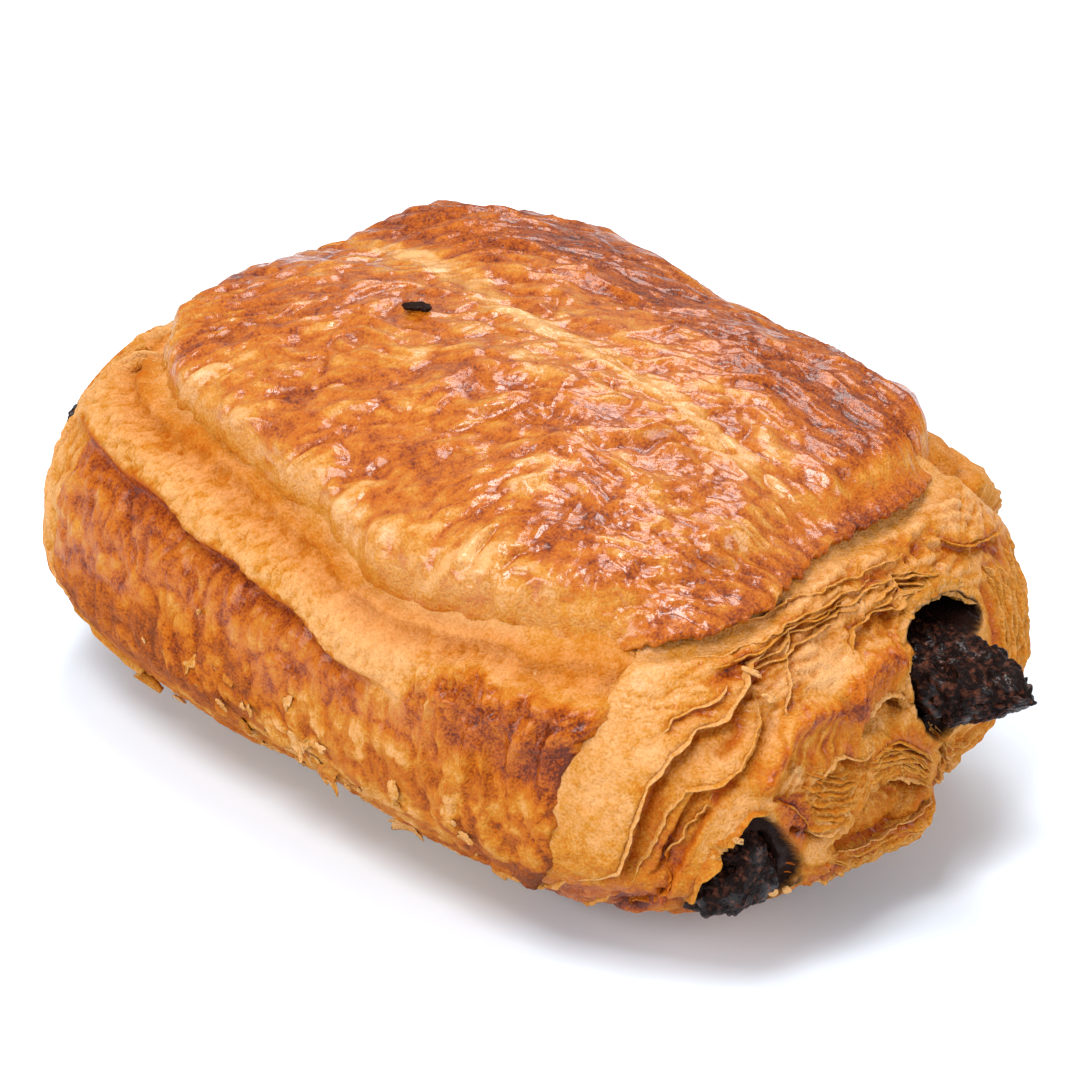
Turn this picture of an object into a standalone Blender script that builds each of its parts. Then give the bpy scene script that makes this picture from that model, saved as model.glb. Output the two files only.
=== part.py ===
"""Pain au chocolat: a rolled pillow of laminated pastry baked round two chocolate batons.

Metres, +Z up. X runs along the roll and the batons, Y across them, and the pastry rests on Z = 0.
The near end is the one at +X. Left and right are as seen by someone who faces that end.
The pastry is a sphere grid moulded by functions: a plain pillow first, then the relief of its folds.
"""

import math

import bmesh
import bpy
import numpy as np
from mathutils import Matrix, Vector, noise

MM = 0.001

# The plain pillow.
LENGTH = 95 * MM
WIDTH = 66 * MM
HEIGHT = 44.0 * MM
BELLY_HEIGHT = 15.5 * MM
BASE_DROP = 16.6 * MM
NEAR_END_SKEW = -0.18

# How square the pillow is round its plan, at plan angles in degrees from +X: 2 is round.
PLAN_SQUARENESS = {20: 3.9, 160: 3.3, 200: 4.0, 340: 3.2}
CROWN_SQUARENESS = {0: 2.35, 35: 2.5, 90: 2.35, 145: 2.8, 180: 2.45, 215: 2.25, 270: 2.25, 325: 2.25}
BASE_SQUARENESS = {0: 2.5, 28: 1.4, 90: 2.1, 180: 2.6, 225: 2.1, 270: 1.85, 325: 2.0}

# The top sheet ends in a lip all round, at these heights in millimetres by plan angle.
LIP_HEIGHTS = {0: 34.5, 25: 34.5, 60: 31, 90: 30, 125: 31, 155: 34, 180: 34.5, 205: 35, 235: 34,
               262: 32.5, 290: 29.5, 310: 31, 335: 32.5}
LIP_RISE = 0.9 * MM
LIP_WIDTH = 1.1 * MM
LIP_REACH = 6 * MM
GROOVE_DEPTH = 1.4 * MM
GROOVE_WIDTH = 1.3 * MM

# The crease between the pale ridge and the lower roll, in millimetres by plan angle. It is deep along
# the sides and gone at the ends, where its line only guides the rows of the grid along the folds.
CREASE_HEIGHTS = {0: 26.5, 10: 25.5, 30: 22, 90: 21, 125: 22, 180: 22, 225: 28, 240: 27, 270: 23.5,
                  290: 22, 315: 21, 335: 21, 350: 25}
CREASE_DEPTHS = {0: 0, 40: 0, 75: 2.0, 120: 2.0, 150: 0, 205: 0, 225: 1.8, 270: 2.2, 292: 1.6, 310: 0}
CREASE_WIDTH = 1.5 * MM
RIDGE_RISE = 0.9 * MM
RIDGE_WIDTH = 3.2 * MM

# The batons, in millimetres: middle and size of the section at the near end, how far that middle
# drifts and climbs over 90 mm to the far end, and both reaches. Point is how far the tip is drawn in,
# and veer is how far it bends towards +Y.
LEFT_BATON = {"across": -18.2, "height": 13.0, "drift": 3.4, "climb": 4.2, "wide": 8.5,
              "high": 11.0, "back": -51, "front": 48.7, "point": 0.1, "veer": 0}
RIGHT_BATON = {"across": 7.6, "height": 21.9, "drift": 0, "climb": 0, "wide": 10.5,
               "high": 8.6, "back": -49, "front": 54.5, "point": 0.85, "veer": 1.6}
BATON_ROUGHNESS = 0.6
TUNNEL_GAP = 0.35
BATON_COLUMNS = 20
BATON_ROWS = 22
TUNNEL_ROWS = 8

# The hollow that opens over the right baton: middle and half sizes in millimetres.
HOLLOW_PLACE = (47, 8.8, 27.0)
HOLLOW_SIZE = (10, 5.0, 2.8)
HOLLOW_COLUMNS = 16
HOLLOW_ROWS = 8

# Folds that wrap both batons on each end, by distance from the line between the batons.
FOLD_PITCH = 4.6 * MM
FAR_FOLD_PITCH = 7.5 * MM
FOLD_START = 6.6 * MM
FOLD_RISE = 2.0 * MM
FOLD_CREST = 0.5

# The rim of each end, in degrees of plan angle from the X axis. Over 14 mm it leans inwards.
RIM_ANGLE = 43
RIM_LEAN = 0.65
RIM_RISE = 0.5 * MM
RIM_DEPTH = 0.9 * MM

# The thick browned fold from over the left baton to the right one: its line in millimetres.
BROWN_FOLD = [(-17.5, 22), (-15.7, 23.9), (-12.8, 25.7), (-8.8, 25.9), (-3.7, 26.7), (1.5, 26.2)]
BROWN_FOLD_RISE = 2.2 * MM
BROWN_FOLD_WIDTH = 1.5 * MM

# Two pockets between the sheets of the near end, in millimetres and degrees.
POCKETS = [{"across": -1.7, "height": 22.5, "tilt": -12, "long": 3.8, "short": 2.0, "depth": 2.8},
           {"across": -2.3, "height": 14.0, "tilt": -6, "long": 6.6, "short": 2.3, "depth": 3.4}]

# Broad dents and swellings of the near end, in millimetres: place, size and rise.
END_LUMPS = [(-10.5, 4.5, 4.0, -1.3), (3.5, 10.0, 3.5, 1.1), (8.5, 13.0, 3.0, -1.2)]

MESH_COLUMNS = 134
MESH_ROWS = 46
NEAR_FINENESS = 5
FAR_FINENESS = 1.6


def smooth_step(share):
    """0 below 0, 1 above 1 and a smooth rise between."""
    share = np.clip(share, 0, 1)
    return share * share * (3 - 2 * share)


def eased(angle, knots):
    """A value that runs smoothly round the plan through knots, which give it by degrees."""
    turns = np.degrees(angle) % 360
    degrees = sorted(knots)
    stops = np.array(degrees + [degrees[0] + 360])
    values = np.array([knots[d] for d in degrees] + [knots[degrees[0]]])
    turns = np.where(turns < stops[0], turns + 360, turns)
    place = np.clip(np.searchsorted(stops, turns, side="right") - 1, 0, len(degrees) - 1)
    share = smooth_step((turns - stops[place]) / (stops[place + 1] - stops[place]))
    return values[place] * (1 - share) + values[place + 1] * share


def bump(distance, width):
    """1 at distance 0, falling to nothing over about two widths."""
    return np.exp(-((distance / width) ** 2))


def lumps(points, size, seed):
    """Seeded noise from about -1 to 1 at each point, with lumps of this size."""
    shift = Vector((seed, 2.3 * seed, -1.7 * seed))
    return np.array([noise.noise(Vector(p) / size + shift) for p in points])


def plan_reach(angle):
    """Distance of the belly line from the vertical axis."""
    squareness = eased(angle, PLAN_SQUARENESS)
    along = np.abs(np.cos(angle)) / (LENGTH / 2)
    across = np.abs(np.sin(angle)) / (WIDTH / 2)
    return (along**squareness + across**squareness) ** (-1 / squareness)


def pillow(angle, climb):
    """Points of the plain pillow. Climb runs from -pi/2, under the middle, to pi/2, the crown."""
    rising = climb > 0
    squareness = np.where(rising, eased(angle, CROWN_SQUARENESS), eased(angle, BASE_SQUARENESS))
    outward = np.maximum(np.cos(climb), 0) ** (2 / squareness)
    upward = np.abs(np.sin(climb)) ** (2 / squareness)
    height = BELLY_HEIGHT + np.where(rising, HEIGHT - BELLY_HEIGHT, -BASE_DROP) * upward
    reach = plan_reach(angle) * outward
    along = reach * np.cos(angle)
    across = reach * np.sin(angle)
    along = along + NEAR_END_SKEW * across * smooth_step(2 * along / LENGTH)
    return np.stack([along, across, height], axis=-1)


def pillow_normals(angle, climb):
    """Unit vectors out of the plain pillow, found from points beside each point."""
    step = 1e-3
    climb = np.clip(climb, -math.pi / 2 + 3 * step, math.pi / 2 - 3 * step)
    round_plan = pillow(angle + step, climb) - pillow(angle - step, climb)
    upward = pillow(angle, climb + step) - pillow(angle, climb - step)
    normals = np.cross(round_plan, upward)
    return normals / np.linalg.norm(normals, axis=-1, keepdims=True)


def climb_at(angle, height):
    """The climb at which the plain pillow reaches a height above its belly."""
    share = (height - BELLY_HEIGHT) / (HEIGHT - BELLY_HEIGHT)
    return np.arcsin(share ** (eased(angle, CROWN_SQUARENESS) / 2))


def column_angles(count):
    """Plan angles of the columns, closest together on the near end and widest along the sides."""
    fine = np.linspace(0, 2 * math.pi, 4001)
    outline = pillow(fine, np.zeros_like(fine))
    steps = np.linalg.norm(np.diff(outline, axis=0), axis=1)
    middle = (outline[1:, 0] + outline[:-1, 0]) / LENGTH
    steps *= 1 + (NEAR_FINENESS - 1) * smooth_step((middle - 0.52) / 0.14)
    steps *= 1 + (FAR_FINENESS - 1) * smooth_step((-middle - 0.56) / 0.14)
    travelled = np.concatenate([[0], np.cumsum(steps)])
    return np.interp(np.arange(count) / count * travelled[-1], travelled, fine)


def row_climbs(angle, count):
    """Climbs of the rows on each column. The rows crowd at the crease and at the lip."""
    crease = climb_at(angle, eased(angle, CREASE_HEIGHTS) * MM)
    groove = climb_at(angle, eased(angle, LIP_HEIGHTS) * MM - GROOVE_WIDTH)
    lip = climb_at(angle, eased(angle, LIP_HEIGHTS) * MM + LIP_WIDTH)
    shares = [0, 0.08, 0.47, 0.70, 0.79, 1]
    climbs = [np.full_like(angle, -math.pi / 2), np.full_like(angle, -1.15), crease, groove, lip,
              np.full_like(angle, math.pi / 2)]
    rows = np.arange(1, count) / count
    return np.stack([np.interp(rows, shares, [c[i] for c in climbs]) for i in range(len(angle))])


def segment_distance(across, height, start, end):
    """Distance of points on an end from the line between two places there, in metres."""
    start = np.array(start) * MM
    run = np.array(end) * MM - start
    offset = np.stack([across, height], axis=-1) - start
    share = np.clip(offset @ run / (run @ run), 0, 1)
    return np.linalg.norm(offset - share[..., None] * run, axis=-1)


def wrapping_folds(points):
    """Rounded bands round both batons, with a crease between each band and the next."""
    left = (LEFT_BATON["across"], LEFT_BATON["height"])
    right = (RIGHT_BATON["across"], RIGHT_BATON["height"])
    distance = segment_distance(points[:, 1], points[:, 2], left, right)
    distance += 1.0 * MM * lumps(points * np.array([0.4, 1, 1]), 16 * MM, 3.1)
    turn = (distance - FOLD_START) / np.where(points[:, 0] > 0, FOLD_PITCH, FAR_FOLD_PITCH)
    part = turn % 1
    band = smooth_step(np.minimum(part / FOLD_CREST, (1 - part) / (1 - FOLD_CREST)))
    return FOLD_RISE * (band - 0.6) * smooth_step(turn + 0.8)


def brown_fold(points):
    """The thick fold between the batons."""
    near = [segment_distance(points[:, 1], points[:, 2], a, b)
            for a, b in zip(BROWN_FOLD[:-1], BROWN_FOLD[1:])]
    return BROWN_FOLD_RISE * bump(np.min(near, axis=0), BROWN_FOLD_WIDTH)


def pocket(points, shape):
    """A lens-shaped dent between two sheets."""
    tilt = math.radians(shape["tilt"])
    across = points[:, 1] - shape["across"] * MM
    height = points[:, 2] - shape["height"] * MM
    along = (across * math.cos(tilt) + height * math.sin(tilt)) / (shape["long"] * MM)
    over = (height * math.cos(tilt) - across * math.sin(tilt)) / (shape["short"] * MM)
    return -shape["depth"] * MM * smooth_step(1.3 - along**2 - over**2)


def end_lumps(points):
    """The broad dents and swellings of the near end."""
    return sum(rise * MM * bump(np.hypot(points[:, 1] - across * MM, points[:, 2] - height * MM), size * MM)
               for across, height, size, rise in END_LUMPS)


def inside_rim(points):
    """Degrees of plan angle from the rim where the outer sheet stops and the end folds start."""
    from_axis = np.degrees(np.arctan2(np.abs(points[:, 1]), np.abs(points[:, 0])))
    return RIM_ANGLE - RIM_LEAN * np.maximum(points[:, 2] / MM - 14, 0) - from_axis


def end_relief(points, rim, lip):
    """Everything that stands out or in on the two ends under the lip."""
    share = smooth_step(rim / 5)
    share *= smooth_step(-lip / (2 * MM)) * smooth_step(points[:, 2] / (4 * MM))
    rise = wrapping_folds(points)
    rise += brown_fold(points)
    near = sum(pocket(points, shape) for shape in POCKETS) + end_lumps(points)
    rise += near * (points[:, 0] > 0)
    rim_edge = RIM_RISE * bump(rim + 3, 4) - RIM_DEPTH * bump(rim - 2, 2.5)
    return share * rise + rim_edge * smooth_step(-lip / (3 * MM)) * smooth_step(points[:, 2] / (5 * MM))


def pastry_points(angle, climb):
    """Points of the pastry: the plain pillow with its lip, groove, ridge, crease and end folds."""
    points = pillow(angle, climb)
    normals = pillow_normals(angle, climb)
    height = points[:, 2]
    lip_height = eased(angle, LIP_HEIGHTS) * MM
    crease_height = eased(angle, CREASE_HEIGHTS) * MM
    lip = height - lip_height
    ridge = height - (lip_height + crease_height) / 2
    side = smooth_step((0.44 - np.abs(points[:, 0]) / LENGTH) / 0.08)
    rise = LIP_RISE * smooth_step(lip / LIP_WIDTH) * bump(np.maximum(lip, 0), LIP_REACH)
    rise -= GROOVE_DEPTH * bump(lip + GROOVE_WIDTH, GROOVE_WIDTH)
    rise -= eased(angle, CREASE_DEPTHS) * MM * bump(height - crease_height, CREASE_WIDTH)
    rise += RIDGE_RISE * bump(ridge, RIDGE_WIDTH) * side
    rise += end_relief(points, inside_rim(points), lip)
    rise += 0.6 * MM * lumps(points, 12 * MM, 7.7) * smooth_step(height / (3 * MM))
    moved = points + normals * rise[:, None]
    moved[:, 2] = np.maximum(moved[:, 2], 0)
    return moved


def collection_of(name):
    """A new collection in the scene."""
    made = bpy.data.collections.new(name)
    bpy.context.scene.collection.children.link(made)
    return made


def material(name, colour, roughness):
    """A plain matte or glossy surface."""
    made = bpy.data.materials.new(name)
    made.use_nodes = True
    shader = made.node_tree.nodes["Principled BSDF"]
    shader.inputs["Base Color"].default_value = (*colour, 1)
    shader.inputs["Roughness"].default_value = roughness
    shader.inputs["Metallic"].default_value = 0
    return made


def sphere_object(name, columns, rows, place, collection):
    """A UV sphere whose vertices are moved by place, which gets their columns and rows."""
    made = bmesh.new()
    bmesh.ops.create_uvsphere(made, u_segments=columns, v_segments=rows, radius=1)
    sphere = np.array([v.co for v in made.verts])
    column = np.rint(np.arctan2(sphere[:, 1], sphere[:, 0]) / (2 * math.pi) * columns).astype(int)
    row = np.rint((1 - np.arccos(np.clip(sphere[:, 2], -1, 1)) / math.pi) * rows).astype(int)
    for vertex, point in zip(made.verts, place(column % columns, row)):
        vertex.co = point
    mesh = bpy.data.meshes.new(name)
    made.to_mesh(mesh)
    made.free()
    mesh.shade_smooth()
    part = bpy.data.objects.new(name, mesh)
    collection.objects.link(part)
    return part


def place_pastry(column, row):
    """Where each vertex of the pastry's sphere grid goes."""
    angles = column_angles(MESH_COLUMNS)
    climbs = row_climbs(angles, MESH_ROWS)
    climb = np.where(row <= 0, -math.pi / 2, math.pi / 2)
    inner = (row > 0) & (row < MESH_ROWS)
    climb[inner] = climbs[column[inner], row[inner] - 1]
    return pastry_points(angles[column], climb)


def stick_point(baton, turn, climb, back, front, grow):
    """Points of a rounded stick along X, which climbs and drifts a little towards its back."""
    along = np.sign(climb) * np.abs(np.sin(climb)) ** 0.6
    girth = np.maximum(np.cos(climb), 0) ** 0.3
    square = (np.abs(np.cos(turn)) ** 3 + np.abs(np.sin(turn)) ** 3) ** (-1 / 3)
    length = (back + front) / 2 + (front - back) / 2 * along
    behind = (45 - length) / 90
    across = baton["across"] + baton["drift"] * behind
    height = baton["height"] + baton["climb"] * behind
    across = across + (baton["wide"] / 2 + grow) * girth * square * np.cos(turn)
    height = height + (baton["high"] / 2 + grow) * girth * square * np.sin(turn)
    return np.stack([length, across, height], axis=-1)


def baton_placer(baton, seed):
    """A function that places the vertices of a baton: rough, with its front drawn to a point."""

    def place(column, row):
        turn = 2 * math.pi * column / BATON_COLUMNS
        climb = math.pi * (row / BATON_ROWS - 0.5)
        skin = stick_point(baton, turn, climb, baton["back"], baton["front"], 0)
        core = skin.copy()
        behind = (45 - skin[:, 0]) / 90
        core[:, 1] = baton["across"] + baton["drift"] * behind
        core[:, 2] = baton["height"] + baton["climb"] * behind
        drawn = smooth_step((skin[:, 0] - baton["front"] + 9) / 9) * baton["point"]
        skin += (core - skin) * (drawn * 0.6)[:, None]
        veer = smooth_step((skin[:, 0] - baton["front"] + 9) / 9) * baton["veer"]
        skin[:, 1] += veer
        core[:, 1] += veer
        rough = BATON_ROUGHNESS * (0.5 + 0.5 * lumps(skin, 3.0, seed + 5.3))
        inward = (core - skin) / (np.linalg.norm(core - skin, axis=1, keepdims=True) + 1e-6)
        return (skin + inward * rough[:, None]) * MM

    return place


def tunnel_placer(baton):
    """A function that places the vertices of the tunnel cutter for a baton."""

    def place(column, row):
        turn = 2 * math.pi * column / BATON_COLUMNS
        climb = math.pi * (row / TUNNEL_ROWS - 0.5)
        return stick_point(baton, turn, climb, -95, 95, TUNNEL_GAP) * MM

    return place


def place_hollow(column, row):
    """Where each vertex of the cutter for the hollow over the right baton goes."""
    turn = 2 * math.pi * column / HOLLOW_COLUMNS
    climb = math.pi * (row / HOLLOW_ROWS - 0.5)
    ball = np.stack([np.cos(climb) * np.cos(turn), np.cos(climb) * np.sin(turn), np.sin(climb)], axis=-1)
    return (np.array(HOLLOW_PLACE) + ball * np.array(HOLLOW_SIZE)) * MM


def cut(body, cutter):
    """Take the cutter out of the body, and leave it as a hidden wire."""
    cutter.hide_render = True
    cutter.display_type = "WIRE"
    step = body.modifiers.new(cutter.name, "BOOLEAN")
    step.operation = "DIFFERENCE"
    step.solver = "EXACT"
    step.object = cutter


def centre(parts, cutters):
    """Move everything so that the middle of all the parts is over the origin."""
    corners = np.array([v.co for part in parts.objects for v in part.data.vertices])
    middle = (corners.min(axis=0) + corners.max(axis=0)) / 2
    shift = Matrix.Translation((-middle[0], -middle[1], 0))
    for made in (*parts.objects, *cutters.objects):
        made.data.transform(shift)


def build():
    """Make the pastry and its two batons, and cut the tunnels that the batons lie in."""
    for old in list(bpy.data.objects):
        bpy.data.objects.remove(old)
    parts = collection_of("pain_au_chocolat")
    cutters = collection_of("cutters")
    pastry = sphere_object("pastry", MESH_COLUMNS, MESH_ROWS, place_pastry, parts)
    pastry.data.materials.append(material("baked_pastry", (0.62, 0.27, 0.06), 0.4))
    batons = {"left": LEFT_BATON, "right": RIGHT_BATON}
    for seed, (side, baton) in enumerate(batons.items()):
        name = "chocolate_baton_" + side
        stick = sphere_object(name, BATON_COLUMNS, BATON_ROWS, baton_placer(baton, seed), parts)
        stick.data.materials.append(material("chocolate_" + side, (0.03, 0.012, 0.008), 0.5))
        name = side + "_tunnel"
        cut(pastry, sphere_object(name, BATON_COLUMNS, TUNNEL_ROWS, tunnel_placer(baton), cutters))
    cut(pastry, sphere_object("hollow", HOLLOW_COLUMNS, HOLLOW_ROWS, place_hollow, cutters))
    centre(parts, cutters)


build()
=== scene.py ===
"""Dresses a pain au chocolat: its glazed top sheet, rolled side skin, folded ends, chocolate and crumbs.

Lengths in the making are millimetres, in the frame of the pastry's source, and turn to metres when a
mesh is made. X runs along the roll, and the near end, with the large chocolate tip, is the one at +X.
Places on an end are given as (across, height), and places on a side or the top by the same axes.

Every surface starts from one plain pillow, by a plan angle round the roll and a climb from the middle
of the underside to the crown. Relief then moves its points, and gives the shades that the finishes
read: bake from 0, raw, to 1, burnt, and darker also as painted shade in hollows; crease, painted shade
in creases and under overhangs; stain, of chocolate, which is also painted shade deep in the mouths and
in the hollow; gloss; flour; and weave, the place along the strands.
"""

import math

import bpy
import numpy as np
from bpy.props import FloatProperty, FloatVectorProperty, IntProperty, PointerProperty
from bpy.types import Operator, Panel, PropertyGroup
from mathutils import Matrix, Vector


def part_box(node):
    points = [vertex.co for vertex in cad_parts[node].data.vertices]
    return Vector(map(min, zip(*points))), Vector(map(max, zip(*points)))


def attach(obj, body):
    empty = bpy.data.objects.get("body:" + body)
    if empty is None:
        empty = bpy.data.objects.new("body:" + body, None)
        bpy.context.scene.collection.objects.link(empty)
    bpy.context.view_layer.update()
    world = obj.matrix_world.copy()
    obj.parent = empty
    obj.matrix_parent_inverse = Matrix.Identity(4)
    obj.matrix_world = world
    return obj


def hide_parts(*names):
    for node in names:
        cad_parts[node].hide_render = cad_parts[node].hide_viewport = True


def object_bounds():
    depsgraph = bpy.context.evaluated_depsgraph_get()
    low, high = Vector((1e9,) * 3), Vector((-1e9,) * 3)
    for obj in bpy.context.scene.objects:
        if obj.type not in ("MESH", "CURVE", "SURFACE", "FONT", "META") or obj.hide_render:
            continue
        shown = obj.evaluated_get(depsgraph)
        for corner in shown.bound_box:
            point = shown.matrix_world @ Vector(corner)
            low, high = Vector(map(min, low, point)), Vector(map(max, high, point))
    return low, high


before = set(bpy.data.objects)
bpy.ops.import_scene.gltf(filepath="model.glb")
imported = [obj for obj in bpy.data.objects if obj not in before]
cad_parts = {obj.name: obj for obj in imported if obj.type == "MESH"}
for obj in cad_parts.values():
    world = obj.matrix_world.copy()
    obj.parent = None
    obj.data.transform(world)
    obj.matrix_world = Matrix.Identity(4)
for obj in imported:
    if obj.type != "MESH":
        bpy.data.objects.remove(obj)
CAD_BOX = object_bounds()

bl_info = {
    "name": "Pain au Chocolat",
    "version": (1, 0, 0),
    "blender": (4, 5, 0),
    "location": "View3D > Sidebar > Pastry",
    "description": "Builds the baked sheets, folds, chocolate and crumbs of a pain au chocolat",
    "category": "Object",
}

MM = 0.001
NOISE_SEED = 11

# Every point stays this far inside the solids' box.
BOX_MARGIN = 0.02

# The tip of the right baton in the source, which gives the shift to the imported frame.
CHOCOLATE_TIP = 54.5
FRAME_SHIFT = np.array([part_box("chocolate_baton_right")[1][0] / MM - CHOCOLATE_TIP, 0, 0])

# The plain pillow under all the sheets.
LENGTH = 95
WIDTH = 66
HEIGHT = 44
BELLY_HEIGHT = 15.5
BASE_DROP = 16.6
UNDERSIDE = 0.02
NEAR_END_SKEW = -0.18
PLAN_SQUARENESS = {20: 3.9, 160: 3.3, 200: 4.0, 340: 3.2}
CROWN_SQUARENESS = {0: 2.35, 35: 2.5, 90: 2.35, 145: 2.8, 180: 2.45, 215: 2.25, 270: 2.25, 325: 2.25}
BASE_SQUARENESS = {0: 2.5, 28: 1.4, 90: 2.1, 180: 2.6, 225: 2.1, 270: 1.85, 325: 2.0}

# Climbs of a wall's lowest row and of the first of those hidden under the roll.
LOWEST_CLIMB = -1.25
HIDDEN_CLIMB = -1.54

# Heights of the top sheet's lip, and height and depth of the crease under the pale ridge, by plan angle.
LIP_HEIGHTS = {0: 34.5, 25: 34.5, 60: 31, 90: 30, 125: 31, 155: 34, 180: 34.5, 205: 35, 235: 34,
               262: 32.5, 290: 29.5, 310: 31, 335: 32.5}
CREASE_HEIGHTS = {0: 26.5, 10: 25.5, 30: 22, 90: 21, 125: 22, 180: 22, 225: 29, 240: 28, 250: 27,
                  270: 26, 290: 23.5, 300: 23, 335: 21, 350: 25}
CREASE_DEPTHS = {0: 0, 40: 0, 75: 2.0, 120: 2.0, 150: 0, 205: 0, 225: 1.2, 245: 2.2, 270: 2.2,
                 286: 1.4, 298: 0}

# Height at which the brown of the sides starts, and how high it reaches on the side in view, by place.
BROWN_LOW = {0: 14, 90: 15, 180: 14, 221: 15.5, 233: 19, 250: 19.8, 274: 17.5, 291: 19.5, 313: 20.6, 335: 20}

BROWN_HIGH_AT = [-36, -33, 14, 18, 22, 28, 34]
BROWN_HIGH = [14, 30, 22, 24.5, 27.2, 28.2, 28.6]

# Where the side skin stops at each end: plan angle from the end's axis, by height.
FAR_RIM_EARLIER = 9
RIM_ANGLES = [(0, 45), (12, 44.5), (20, 43), (24, 41.5), (27, 38), (30, 34), (33, 31)]
SKIN_FROM, SKIN_TO = 45, 315

# The batons: place at the near end, drift and climb on the way to the far end, size and both tips.
MOUTH_AT = 45
LEFT_BATON = {"across": -18.2, "height": 13.9, "drift": 3.4, "climb": 4.2, "wide": 8.5,
              "high": 11.0, "back": -51, "front": 48.7}
RIGHT_BATON = {"across": 7.6, "height": 21.9, "drift": 0, "climb": 0, "wide": 10.5,
               "high": 8.6, "back": -49, "front": CHOCOLATE_TIP}
RIGHT_LEAN = 0.22
TUNNEL_DEPTH = 11
HOLLOW_DEPTH = 10

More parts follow.
